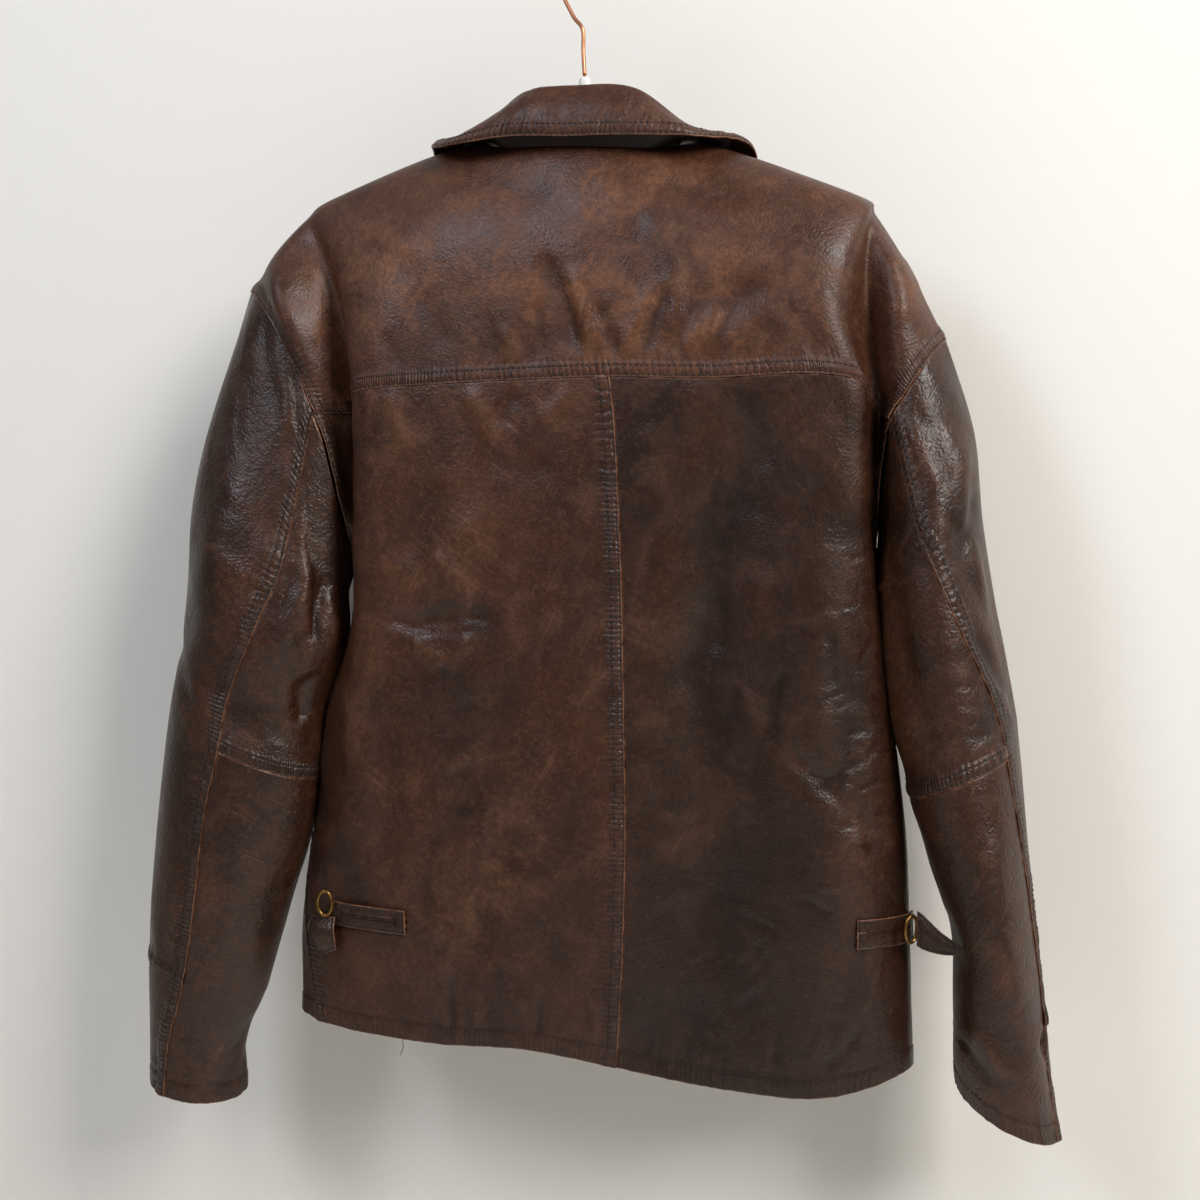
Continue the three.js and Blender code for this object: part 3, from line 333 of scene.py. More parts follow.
BACK_WRINKLES = [
    ([(-201, -520), (-208, -560), (-211, -592), (-215, -630)], 12, -3),
    ([(-74, -317), (-56, -343), (-47, -362)], 8, -2.25),
    ([(-31, -321), (-42, -337), (-45, -351)], 6, 1.2),
    ([(9, -320), (-4, -335), (-20, -346)], 6, -1.35),
    ([(-133, -318), (-123, -347), (-119, -366)], 6, -1.5),
    ([(-105, -436), (-84, -455), (-62, -473)], 9, -2.4),
    ([(-119, -488), (-87, -482), (-47, -487)], 7, 2.4),
    ([(-130, -496), (-93, -498), (-58, -494)], 2, 0.9),
    ([(-125, -501), (-102, -515), (-95, -524)], 8, -2.4),
    ([(-62, -498), (-86, -514), (-95, -524)], 7, -2.1),
    ([(-115, -563), (-74, -552), (-53, -540)], 3, 0.75),
    ([(-128, -572), (-101, -572), (-74, -568)], 1.6, 0.6),
    ([(-117, -622), (-89, -605), (-59, -592), (-25, -584), (8, -579)], 4, 0.74),
    ([(-96, -603), (-76, -588), (-57, -574)], 4, -1.05),
    ([(-34, -567), (-18, -588), (5, -611)], 1.8, 0.75),
    ([(-24, -646), (-3, -652), (28, -656)], 1.8, 0.75),
    ([(-60, -632), (-39, -650), (-7, -672)], 2.5, 0.9),
    ([(-92, -652), (-97, -674), (-101, -699)], 8, -1.35),
    ([(-106, -684), (-98, -714), (-102, -737)], 5, -1.05),
    ([(-94, -716), (-89, -730), (-98, -763)], 7, -1.35),
    ([(-2, -572), (1, -615), (-1, -660)], 9, 1.05),
    ([(157, -509), (149, -543), (146, -572)], 6, 2.55),
    ([(129, -528), (139, -552), (144, -567)], 7, -1.5),
    ([(187, -480), (190, -508), (192, -532)], 4, 1.24),
    ([(205, -489), (213, -499), (207, -515)], 2, 0.9),
    ([(196, -550), (208, -558), (224, -550)], 3, 0.66),
    ([(164, -584), (188, -590), (212, -579), (224, -562)], 3, 0.83),
    ([(184, -599), (202, -624), (214, -650)], 5, -1.24),
    ([(207, -603), (214, -626), (217, -648)], 4, 1.07),
    ([(197, -634), (209, -642), (211, -654)], 2, 0.66),
    ([(165, -626), (177, -640), (190, -656)], 3, 0.66),
    ([(56, -583), (61, -597), (66, -613)], 5, -1.05),
    ([(117, -519), (120, -540), (122, -558)], 5, 0.66),
    ([(78, -646), (87, -662), (92, -678)], 5, 0.66),
    ([(98, -455), (108, -484), (113, -512)], 9, 1.5),
    ([(70, -441), (75, -484), (72, -534)], 10, -1.2),
    ([(140, -441), (143, -475), (149, -502)], 8, -1.05),
    ([(194, -688), (180, -678), (170, -674)], 2.5, 1.05),
    ([(224, -718), (219, -742), (213, -760)], 4, -0.91),
    ([(210, -718), (205, -740), (197, -754)], 4, 0.83),
    ([(120, -690), (142, -696), (161, -702)], 2.5, 0.9),
    ([(146, -765), (149, -782), (150, -803)], 3, -0.74),
    ([(153, -765), (154, -782), (157, -797)], 3, 0.74),
    ([(163, -741), (159, -758), (157, -770)], 5, 0.66),
    ([(93, -757), (98, -779), (108, -792)], 3, 0.9),
    ([(57, -774), (61, -788), (63, -803)], 3, 0.9),
    ([(-90, -754), (-91, -774), (-89, -798)], 3, 1.05),
    ([(-69, -756), (-68, -775), (-69, -798)], 3, -1.05),
    ([(-51, -757), (-50, -778), (-54, -799)], 3, 0.66),
    ([(-35, -757), (-32, -776), (-33, -799)], 3, -1.05),
    ([(-20, -753), (-20, -776), (-23, -801)], 3, 1.05),
    ([(19, -754), (23, -776), (19, -800)], 3, -1.05),
    ([(-187, -525), (-176, -568), (-178, -615)], 8, -1.2),
    ([(-151, -512), (-155, -567), (-150, -626)], 9, 1.2),
    ([(-70, -365), (-31, -379), (-1, -374)], 10, 0.9),
    ([(98, -379), (120, -400), (154, -403)], 10, 0.9),
    ([(56, -345), (70, -365), (67, -400)], 9, -1.05),
    ([(122, -321), (141, -352), (144, -386)], 8, 1.2),
]
LEFT_WRINKLES = [
    ([(186, 160), (186, 198), (187, 236), (187, 278)], 18, -5.5),
    ([(32, 6), (49, 11), (66, 22)], 6, 1.19),
    ([(40, 6), (60, 11), (76, 21)], 6, -1.7),
    ([(58, 1), (72, 7), (79, 17)], 3, 1.27),
    ([(70, 2), (77, 8), (80, 14)], 4, -1.19),
    ([(91, 34), (97, 52), (112, 127), (144, 202)], 5, -1.87),
    ([(108, 51), (125, 135), (140, 180)], 3, 1.7),
    ([(133, 105), (150, 144), (151, 180)], 6, -1.36),
    ([(85, 148), (113, 175), (137, 208), (187, 246)], 2.2, 0.85),
    ([(83, 186), (91, 188), (99, 192)], 3, -0.51),
    ([(91, 217), (111, 223), (120, 236), (145, 246)], 3, 0.85),
    ([(104, 165), (101, 131), (89, 85)], 7, 0.77),
    ([(79, 139), (69, 136), (63, 146)], 8, 0.42),
    ([(160, 412), (142, 399), (125, 384)], 2, 0.34),
    ([(101, 385), (120, 389), (137, 384)], 3, 0.51),
    ([(100, 419), (113, 422), (129, 419)], 3, 0.51),
    ([(128, 500), (148, 500), (176, 491)], 4, 0.77),
    ([(82, 359), (93, 384), (99, 419)], 7, -0.85),
    ([(71, 368), (70, 402), (70, 428)], 7, -0.68),
    ([(111, 164), (124, 160), (135, 162)], 1.4, 0.51),
    ([(103, 140), (113, 132), (129, 133)], 1.4, 0.51),
    ([(97, 118), (106, 106), (118, 102)], 1.3, 0.51),
    ([(91, 81), (100, 61), (110, 56)], 1.3, 0.42),
    ([(89, 52), (96, 45), (107, 41)], 1.3, 0.42),
    ([(120, 187), (131, 183), (144, 184)], 1.6, 0.59),
]
RIGHT_WRINKLES = [
    ([(160, 50), (161, 110), (161, 190), (160, 266)], 22, -8),
    ([(152, 28), (151, 50), (151, 72), (153, 96)], 17, -5),
    ([(63, 10), (51, 29), (48, 37)], 3, 1.3),
    ([(48, 18), (36, 34), (26, 44)], 2.5, 1.1),
    ([(50, 11), (40, 19), (24, 34)], 2.2, 0.8),
    ([(71, 8), (65, 37), (56, 66)], 4.5, -1.9),
    ([(58, 30), (56, 51), (53, 66)], 4, 1.9),
    ([(65, 73), (48, 107), (13, 122)], 2.2, 1.3),
    ([(58, 72), (47, 84), (16, 99)], 1.6, 0.6),
    ([(106, 194), (98, 198), (89, 201)], 2, 0.8),
    ([(108, 208), (94, 216), (84, 216)], 2.2, 0.9),
    ([(119, 228), (103, 226), (91, 230)], 2.6, 0.9),
    ([(111, 242), (102, 238), (91, 245)], 2.2, 0.8),
    ([(95, 148), (102, 154), (107, 161)], 2.5, 0.5),
    ([(26, 54), (32, 70), (46, 82)], 6, -1.0),
    ([(42, 125), (36, 143), (39, 160)], 6, -0.8),
    ([(112, 338), (104, 338), (96, 344)], 2, 0.5),
    ([(114, 389), (106, 397), (94, 393)], 2, 0.5),
    ([(153, 447), (138, 465), (123, 494)], 6, 1.8),
    ([(142, 432), (127, 451), (117, 481)], 6, -1.6),
    ([(110, 479), (102, 491), (97, 505)], 3, 0.7),
    ([(119, 411), (110, 418), (98, 419)], 4, 0.7),
    ([(114, 440), (107, 448), (95, 450)], 4, 0.7),
]

# Seeded small creases and broad soft waves: seed, count, region, direction, turn, then ranges in mm for
# length, width and depth. Regions are (x, x, z, z) on the body, or mm round and down a sleeve.
BODY_SMALL = (
    (101, 42, (-215, 225, -790, -330), 80, 45, (70, 190), (12, 24), (0.8, 2.0)),
    (102, 34, (186, 226, -680, -430), 8, 26, (12, 34), (1.2, 2.2), (0.35, 0.8)),
    (103, 22, (-215, -165, -690, -430), -5, 30, (12, 30), (1.2, 2.2), (0.25, 0.6)),
    (104, 26, (-120, 30, -802, -766), 90, 9, (22, 46), (2.0, 3.4), (0.4, 0.8)),
    (105, 16, (45, 160, -806, -770), 90, 12, (20, 42), (2.0, 3.4), (0.3, 0.7)),
    (106, 60, (-200, 215, -780, -340), 20, 80, (14, 46), (0.9, 1.8), (0.15, 0.45)),
    (107, 14, (120, 215, -800, -700), 75, 40, (24, 60), (2.5, 5), (0.4, 0.9)),
)
YOKE_SMALL = (
    (111, 16, (-190, 190, -300, -190), 80, 60, (50, 120), (12, 22), (0.6, 1.5)),
    (112, 22, (-40, 140, -306, -262), 78, 26, (14, 44), (1.4, 3), (0.3, 0.8)),
    (113, 26, (-200, 200, -306, -180), 10, 80, (12, 40), (0.9, 1.6), (0.12, 0.35)),
)
LEFT_SMALL = (
    (121, 30, (92, 152, 40, 205), 0, 24, (10, 26), (1.2, 2.2), (0.4, 0.9)),
    (122, 16, (20, 90, 40, 260), 80, 40, (50, 120), (10, 17), (0.7, 1.7)),
    (123, 14, (90, 190, 215, 275), 20, 35, (14, 40), (1.6, 3), (0.4, 0.9)),
    (124, 20, (0, 340, 300, 540), 85, 50, (40, 110), (9, 16), (0.7, 1.7)),
    (125, 30, (30, 180, 300, 545), 10, 60, (10, 34), (1, 2), (0.2, 0.5)),
    (126, 26, (200, 336, 20, 540), 30, 70, (30, 110), (5, 12), (0.3, 0.9)),
    (127, 14, (20, 80, 6, 60), 60, 30, (14, 30), (1.4, 2.4), (0.3, 0.7)),
)
RIGHT_SMALL = (
    (131, 22, (84, 150, 60, 260), 0, 26, (12, 34), (1.2, 2.2), (0.35, 0.8)),
    (132, 16, (0, 84, 40, 260), 84, 40, (50, 120), (10, 17), (0.7, 1.7)),
    (133, 14, (80, 180, 210, 275), 15, 35, (14, 40), (1.6, 3), (0.4, 0.9)),
    (134, 20, (0, 340, 300, 540), 85, 50, (40, 110), (9, 16), (0.7, 1.7)),
    (135, 26, (30, 180, 300, 545), 10, 60, (10, 34), (1, 2), (0.2, 0.5)),
    (136, 26, (200, 336, 20, 540), 30, 70, (30, 110), (5, 12), (0.3, 0.9)),
    (137, 12, (20, 90, 6, 80), 50, 40, (14, 34), (1.4, 2.4), (0.3, 0.7)),
)
FRONT_SMALL = (
    (141, 40, (-220, 220, -780, -180), 82, 45, (60, 180), (10, 20), (0.3, 1.0)),
    (142, 40, (-200, 200, -780, -180), 10, 80, (14, 44), (1, 2), (0.2, 0.5)),
)
COLLAR_SMALL = (
    (151, 70, (0, 480, 4, 44), 90, 18, (12, 34), (1.2, 2.6), (0.2, 0.5)),
    (152, 10, (120, 360, 6, 38), 20, 50, (20, 60), (3, 7), (0.3, 0.6)),
)
# Painted shade on the body, darker towards the bottom, on the right and in a strip beside the left sleeve:
# x, z, half width, half height, strength
BODY_PAINTED_SHADE = [
    (0, -850, 400, 150, 0.5),
    (170, -640, 120, 160, 0.45),
    (-215, -560, 26, 160, 0.8),
    (120, -400, 110, 90, 0.2),
]
# Rubbed places on the body: x, z, half width, half height, strength
BODY_WORN = [
    (-125, -235, 60, 34, 0.8),
    (-10, -255, 70, 50, 0.5),
    (95, -262, 80, 40, 0.5),
    (20, -180, 90, 22, 0.5),
    (-150, -330, 30, 16, 0.4),
    (60, -500, 24, 60, 0.3),
    (120, -620, 40, 50, 0.35),
    (205, -640, 20, 60, 0.45),
    (-80, -640, 60, 60, 0.3),
    (-60, -700, 40, 40, 0.3),
]
# The thread end that hangs from the hem
LOOSE_THREAD = [(-131, -42, -806), (-132, -44, -811), (-131.5, -45, -817), (-134, -45, -823)]


# Surfaces


def ease(x):
    """Smooth step from 0 at x = 0 to 1 at x = 1."""
    t = np.clip(x, 0, 1)
    return t * t * (3 - 2 * t)


def hump(x, centre, width):
    """Bell of height 1 round a centre."""
    return np.exp(-(((x - centre) / width) ** 2))


def weights(s, last):
    """Index and Catmull-Rom weights of the four points round each parameter."""
    i = np.clip(np.floor(s).astype(int), 0, last - 1)
    t = s - i
    w = (-t + 2 * t**2 - t**3, 2 - 5 * t**2 + 3 * t**3, t + 4 * t**2 - 3 * t**3, t**3 - t**2)
    return i, [0.5 * each for each in w]


def lengthened(points, axis=0):
    """Points with one more at each end of an axis, in line with the last two."""
    p = np.moveaxis(np.asarray(points, float), axis, 0)
    p = np.concatenate([[2 * p[0] - p[1]], p, [2 * p[-1] - p[-2]]])
    return np.moveaxis(p, 0, axis)


def along(points, s):
    """Point at parameter s on the smooth curve through points, which may differ for each s."""
    p = lengthened(points)
    i, w = weights(s, len(points) - 1)
    if p.ndim == 2:
        return sum(w[k][..., None] * p[i + k] for k in range(4))
    pick = [np.take_along_axis(p, (i + k)[None, ..., None], axis=0)[0] for k in range(4)]
    return sum(w[k][..., None] * pick[k] for k in range(4))


def net(rows):
    """Smooth surface through rows of points, u along a row and v from row to row."""
    grid = lengthened(lengthened(rows, 0), 1)
    last_v, last_u = len(rows) - 1, len(rows[0]) - 1

    def surface(u, v):
        j, across = weights(u, last_u)
        i, down = weights(v, last_v)
        return sum(
            (down[a] * across[b])[..., None] * grid[i + a, j + b] for a in range(4) for b in range(4)
        )

    return surface


CREASE_FADE = 0.25  # share of a crease line at each end where it fades


def folds(lines, x, z):
    """Sum of soft troughs (depth over 0) and ridges (under 0): bells across crease lines that fade at both
    ends."""
    total = np.zeros(np.broadcast(x, z).shape)
    for line, width, depth in lines:
        points = np.array(line, float)
        nearest = np.full(total.shape, np.inf)
        place = np.zeros(total.shape)
        for k, (a, b) in enumerate(zip(points, points[1:])):
            run = b - a
            t = np.clip(((x - a[0]) * run[0] + (z - a[1]) * run[1]) / (run @ run), 0, 1)
            distance = np.hypot(x - a[0] - t * run[0], z - a[1] - t * run[1])
            closer = distance < nearest
            nearest = np.where(closer, distance, nearest)
            place = np.where(closer, (k + t) / (len(points) - 1), place)
        fade = ease(place / CREASE_FADE) * ease((1 - place) / CREASE_FADE)
        total += depth * fade * np.exp(-((nearest / width) ** 2))
    return total


back_net = net(BACK_NET)
left_net = net(LEFT_NET)
right_net = net(RIGHT_NET)


def back(u, v):
    """The back: its net, pushed in along the main creases."""
    p = back_net(u, v)
    inward = folds(BACK_CREASES, p[..., 0], p[..., 2]) * ease(u / 2) * ease((HEM - u) / 2)
    p[..., 1] += inward
    return p


def front(front_net, back_side, shoulder):
    """A front: its net, brought to the back's edges at the side and shoulder seams, with its creases."""

    def surface(u, v):
        p = front_net(u, v)
        edge = back_net(np.full_like(v, back_side), v - FRONT_ARMPIT + ARMPIT)
        shift = edge - front_net(np.zeros_like(u), v)
        p = p + shift * ((1 - ease(u)) * (v > FRONT_ARMPIT))[..., None]
        place = np.interp(u, [0, 1, 2, 3], shoulder)
        shift = back_net(place, np.zeros_like(v)) - front_net(u, np.zeros_like(v))
        p = p + shift * ((1 - ease(v)) * (u < FRONT_NECK))[..., None]
        p[..., 1] -= folds(FRONT_CREASES, p[..., 0], p[..., 2]) * ease(u) * ease(v / 2)
        return p

    return surface


front_left = front(left_net, 0, [0, 2, 3.46, 4])
front_right = front(right_net, HEM, [12, 10, 8.54, 8])


def armhole(back_side, front_surface, t):
    """The armhole edge: down the back for places 0 to 4, up the front for 4 to 8."""
    down = np.where(t <= BACK_SEAM, YOKE_SEAM * t / 2, YOKE_SEAM + (ARMPIT - YOKE_SEAM) * (t - 2) / 2)
    behind = back(np.full_like(t, back_side), np.clip(down, 0, ARMPIT))
    before = front_surface(np.zeros_like(t), np.clip(ROUND - t, 0, FRONT_ARMPIT))
    return np.where((t <= 4)[..., None], behind, before)


def sleeve(rings, side, back_side, front_surface, creases):
    """A sleeve: leaning ovals joined by a smooth curve at each place round it, from armhole to cuff."""

    def surface(u, v):
        t = np.mod(u, ROUND)
        inward = folds(
            [([(a * ROUND_SCALE, b * DOWN_SCALE) for a, b in line], w, d) for line, w, d in creases],
            t * ROUND_SCALE,
            v * DOWN_SCALE,
        )
        points = []
        for x, y, z, a, b, lean, seam in rings:
            angle = np.radians(np.interp(t, [0, 2, 4, 8], [0, seam, 180, 360]))
            c, s = np.cos(angle), np.sin(angle)
            points.append(
                np.stack([x + side * (a - inward) * c, y - (b - inward) * s, z + lean * c], axis=-1)
            )
        head = armhole(back_side, front_surface, t)
        head[..., 0] += side * ARMPIT_CLEARANCE * np.sin(np.pi * t / ROUND) ** 4
        first = points[0] - head
        length = np.linalg.norm(first, axis=-1, keepdims=True)
        head = head + first * ARMHOLE_DROP / np.maximum(length, ARMHOLE_DROP)
        return along(np.stack([head, *points]), v)

    return surface


sleeve_left = sleeve(LEFT_RINGS, -1, 0, front_left, LEFT_CREASES)
sleeve_right = sleeve(RIGHT_RINGS, 1, HEM, front_right, RIGHT_CREASES)


def neck_seam(u):
    """The neck seam round the fronts and the back, for places along the collar."""
    from_end = np.minimum(u, COLLAR_END - u)
    behind = back_net(4 + 4 * (u - COLLAR_SHOULDER) / 6, np.zeros_like(u))
    place = FRONT_NECK + COLLAR_REACH * (1 - from_end / COLLAR_SHOULDER)
    left = left_net(place, np.zeros_like(u))
    right = right_net(place, np.zeros_like(u))
    before = np.where((u < CENTRE)[..., None], left, right)
    return np.where((from_end >= COLLAR_SHOULDER)[..., None], behind, before)


def from_neck(u):
    """Level direction away from the neck at places along the collar's fold."""
    run = along(FOLD_LINE, u + 0.02) - along(FOLD_LINE, u - 0.02)
    away = np.stack([run[..., 1], -run[..., 0], np.zeros_like(u)], axis=-1)
    return away / np.linalg.norm(away, axis=-1, keepdims=True)


def fall(u, v):
    """The turned-down collar: straight from the fold to its edge with a bulge between, and below v = 0 a
    half turn that rolls over the fold to the inside."""
    roll = STAND_GAP / 2
    away = from_neck(u)
    down = np.clip(v, 0, None)
    fold, edge = along(FOLD_LINE, u), along(FALL_EDGE, u)
    p = fold + (edge - fold) * down[..., None]
    bulge = FALL_BULGE * np.sin(np.pi * down) * ease(u) * ease(COLLAR_END - u)
    angle = np.pi * np.clip(-v / FALL_ROLL, 0, 1)
    bulge = bulge - roll * (1 - np.cos(angle))
    p = p + away * bulge[..., None]
    p[..., 2] += roll * (np.sin(angle) - (1 - down) ** 2)
    p[..., 2] -= TURN_IN_DROP * np.clip(-v - FALL_ROLL, 0, None)
    return p


def stand(u, v):
    """The collar's inner stand, from the neck seam straight up to the fold, and below v = 0 a hem that goes
    down inside the jacket, deepest at the shoulders."""
    share = np.clip(np.abs(u - CENTRE) / STAND_HEM_PLACES, STAND_HEM_LEAST, 1)
    v = np.where(v < 0, v * share, v)
    top = along(FOLD_LINE, u) - from_neck(u) * STAND_GAP
    top[..., 2] -= STAND_GAP
    foot = neck_seam(u)
    foot[..., 2] += STAND_FOOT
    return foot + (top - foot) * v[..., None]


# Grids

# Distances from a sewn edge in millimetres where a grid is fine enough for the lap and its stitch rows
AT_SEAM = np.array([0, 0.35, 0.8, 1.3, 1.8, 2.4, 3.3, 4.5, 5.7, 6.6, 7.3, 8.0, 8.7, 9.5, 10.6, 12.2, 14.2])


def even(curve, start, end, step, fine_start=False, fine_end=False):
    """Parameters about step mm apart along curve(s), a bundle of lines, and closer near its sewn ends."""
    s = np.linspace(start, end, 500)
    lines = curve(s)
    runs = np.linalg.norm(np.diff(lines, axis=-2), axis=-1)
    length = np.concatenate([[0], np.cumsum(runs.mean(axis=0))])
    low = AT_SEAM if fine_start else np.array([0.0])
    high = length[-1] - (AT_SEAM[::-1] if fine_end else np.array([0.0]))
    count = max(int(round((high[0] - low[-1]) / step)), 1)
    middle = np.linspace(low[-1], high[0], count + 1)[1:-1]
    return np.interp(np.concatenate([low, middle, high]), length, s)


def bundle(surface, across, other):
    """Lines of a surface as a function of one parameter, at some values of the other."""
    fixed = np.array(other, float)[:, None]

    def curve(s):
        s = np.broadcast_to(s, (len(other), len(s)))
        held = np.broadcast_to(fixed, s.shape)
        return surface(s, held) if across else surface(held, s)

    return curve


def edge_distances(p):
    """Distance of each point from the grid's left, right, top and bottom edge, along the grid lines."""
    across = np.linalg.norm(np.diff(p, axis=1), axis=-1)
    down = np.linalg.norm(np.diff(p, axis=0), axis=-1)
    left = np.concatenate([np.zeros((len(p), 1)), np.cumsum(across, axis=1)], axis=1)
    top = np.concatenate([np.zeros((1, p.shape[1])), np.cumsum(down, axis=0)], axis=0)
    return {"left": left, "right": left[:, -1:] - left, "top": top, "bottom": top[-1:] - top}


def normals_of(p, side):
    """Unit normals of a grid, the cross product of its two directions, times side."""
    n = np.cross(np.gradient(p, axis=1), np.gradient(p, axis=0)) * side
    return n / np.maximum(np.linalg.norm(n, axis=-1, keepdims=True), 1e-9)


def waver(s, spacing, seed):
    """Smooth random wave of size 1 along a length, with a knot about every spacing mm."""
    rng = np.random.default_rng(seed)
    count = int(np.max(s) / spacing) + 4
    knots = rng.uniform(-1, 1, count)[:, None]
    return along(knots, np.clip(s / spacing, 0, count - 1))[..., 0]


# Seams. A lapped seam has this panel on top, folded under: a raised band with two stitch rows in
# grooves and small puckers. A tucked seam goes under its neighbour, a hem is turned in and sewn once,
# and a plain seam is a valley.
ROWS = {"lap": (1.7, 8.3), "hem": (14.0,), "edge": (4.0,), "strap": (2.4,)}
TUCK_DEPTH, TUCK_WIDTH = 0.25, 6
VALLEY_DEPTH, VALLEY_WIDTH = 1.1, 2.0
EDGE_ROUNDING, EDGE_WIDTH = 0.5, 0.9
LAP_HEIGHT, LAP_BAND, LAP_SLOPE = 0.9, 10.0, 2.6
LAP_SWELL, SWELL_SPACING = 0.35, 5.0  # between the two stitch rows of a lap
HEM_HEIGHT, HEM_BAND, HEM_SLOPE = 0.45, 13, 2
GROOVE, GROOVE_WIDTH = 0.45, 0.75
PUCKER = {"lap": 0.4, "hem": 0.55, "edge": 0.15, "strap": 0.12}
PUCKER_REACH = {"lap": 18.0, "hem": 36.0, "edge": 10.0, "strap": 4.0}
PUCKER_SPACING = 3.6
# How strongly the ribs of the stitching show, and how far from the edge they reach before they fade
GATHER = {"lap": 1.0, "hem": 0.7, "edge": 0.5}
GATHER_BAND, GATHER_FADE = 7.5, 5
BARE_EDGE = 0.6  # width of the edge that has lost its dye
CRUMPLE_FADE = 9  # wrinkles fade out over this distance to a piece's edge


def seam_relief(kind, d, s, seed):
    """Height of a seam over the panel, from the distance d to the edge and the length s along it."""
    if kind == "tuck":
        return -TUCK_DEPTH * np.exp(-((d / TUCK_WIDTH) ** 2))
    if kind == "plain":
        return -VALLEY_DEPTH * np.exp(-((d / VALLEY_WIDTH) ** 2))
    relief = -EDGE_ROUNDING * np.clip(1 - d / EDGE_WIDTH, 0, 1) ** 2
    if kind == "lap":
        first, second = ROWS["lap"]
        relief = relief + LAP_HEIGHT * (1 - ease((d - LAP_BAND + 1) / LAP_SLOPE))
        between = LAP_SWELL * np.sin(np.pi * np.clip((d - first) / (second - first), 0, 1))
        relief = relief + between * (0.8 + 0.5 * waver(s, SWELL_SPACING, seed))
    if kind == "hem":
        relief = relief + HEM_HEIGHT * (1 - ease((d - HEM_BAND) / HEM_SLOPE))
    for row in ROWS[kind]:
        relief = relief - GROOVE * np.exp(-(((d - row) / GROOVE_WIDTH) ** 2))
    last = ROWS[kind][-1]
    fade = np.exp(-(((d - last) / (PUCKER_REACH[kind] - last)) ** 2))
    window = np.where(d < last, 1.0, fade)
    slant = 0.12 * d * waver(s, 40, seed + 5)
    return relief + PUCKER[kind] * waver(s + slant, PUCKER_SPACING, seed + 1) * window


# Meshes


def grid_faces(rows, columns, side, closed=False):
    """Quads of a grid, facing its two directions' cross product times side. Closed joins the last column
    to the first."""
    i = np.arange(rows - 1)[:, None] * columns
    j = np.arange(columns if closed else columns - 1)
    following = (j + 1) % columns
    quads = np.stack([i + j, i + following, i + columns + following, i + columns + j], axis=-1)
    quads = quads.reshape(-1, 4)
    return quads if side > 0 else quads[:, ::-1]


def rod_faces(rows, columns, start=0):
    """Faces of a rod: a grid closed round and capped at both ends, its points counted from start."""
    faces = (grid_faces(rows, columns, 1, closed=True) + start).tolist()
    first = [start + k for k in range(columns)]
    last = [start + (rows - 1) * columns + k for k in range(columns)]
    return [*faces, first[::-1], last]


def piece(name, points, faces, finishes, nodes=(), values=None):
    """A mesh from points in millimetres and faces, with values on its points, in place of CAD nodes."""
    mesh = bpy.data.meshes.new(name)
    mesh.from_pydata((np.asarray(points).reshape(-1, 3) * MM).tolist(), [], [list(f) for f in faces])
    mesh.polygons.foreach_set("use_smooth", np.ones(len(mesh.polygons), bool))
    for key, value in (values or {}).items():
        attribute = mesh.attributes.new(key, "FLOAT", "POINT")
        attribute.data.foreach_set("value", np.ravel(value).astype(np.float32))
    for finish in finishes:
        mesh.materials.append(finish)
    mesh.update()
    made = bpy.data.objects.new(name, mesh)
    bpy.context.scene.collection.objects.link(made)
    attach(made, "root")
    if nodes:
        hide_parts(*nodes)
    return made


def row_of(p, n, d, edge, distance):
    """Points and normals on a line that runs at a distance inside one edge of a grid."""
    if edge in ("left", "right"):
        p, n, d = p.swapaxes(0, 1), n.swapaxes(0, 1), d.T
    if edge in ("right", "bottom"):
        p, n, d = p[::-1], n[::-1], d[::-1]
    k = np.clip((d < distance).sum(axis=0) - 1, 0, len(d) - 2)
    column = np.arange(d.shape[1])
    t = ((distance - d[k, column]) / (d[k + 1, column] - d[k, column]))[:, None]
    return [a[k, column] + (a[k + 1, column] - a[k, column]) * t for a in (p, n)]


STITCH_LENGTH = 3.0
STITCH_PITCH = 3.9
STITCH_SLANT = 0.08  # how far a stitch may lean out of its row
STITCH_SIDES = 5
# Rings of a stitch: place along it from -1 to 1, height over the leather, and radius
STITCH_RINGS = ((-1, -0.4, 0.25), (-0.6, 0.12, 0.42), (0.6, 0.12, 0.42), (1, -0.4, 0.25))
THREAD_RADIUS = 0.3


def stitches(points, normals, seed=0):
    """Points of thread stitches on a line: each is a thin bent tube whose ends go into the leather."""
    length = np.concatenate([[0], np.cumsum(np.linalg.norm(np.diff(points, axis=0), axis=1))])
    count = max(int(length[-1] / STITCH_PITCH), 1)
    at = (np.arange(count) + 0.5) * length[-1] / count
    rng = np.random.default_rng(seed)

    def on_line(values, s):
        return np.stack([np.interp(s, length, values[:, k]) for k in range(3)], axis=1)

    def unit(v):
        return v / np.maximum(np.linalg.norm(v, axis=1, keepdims=True), 1e-9)

    centre = on_line(points, at)
    normal = unit(on_line(normals, at))
    ahead = unit(on_line(points, at + 1) - on_line(points, at - 1))
    slant = STITCH_SLANT * rng.uniform(-1, 1, (count, 1))
    ahead = unit(ahead + slant * np.cross(normal, ahead))
    aside = np.cross(normal, ahead)
    made = []
    for place, height, radius in STITCH_RINGS:
        for angle in np.arange(STITCH_SIDES) * 2 * math.pi / STITCH_SIDES:
            made.append(
                centre
                + ahead * place * STITCH_LENGTH / 2
                + aside * radius * math.cos(angle)
                + normal * (height + radius * math.sin(angle))
            )
    return np.stack(made, axis=1)


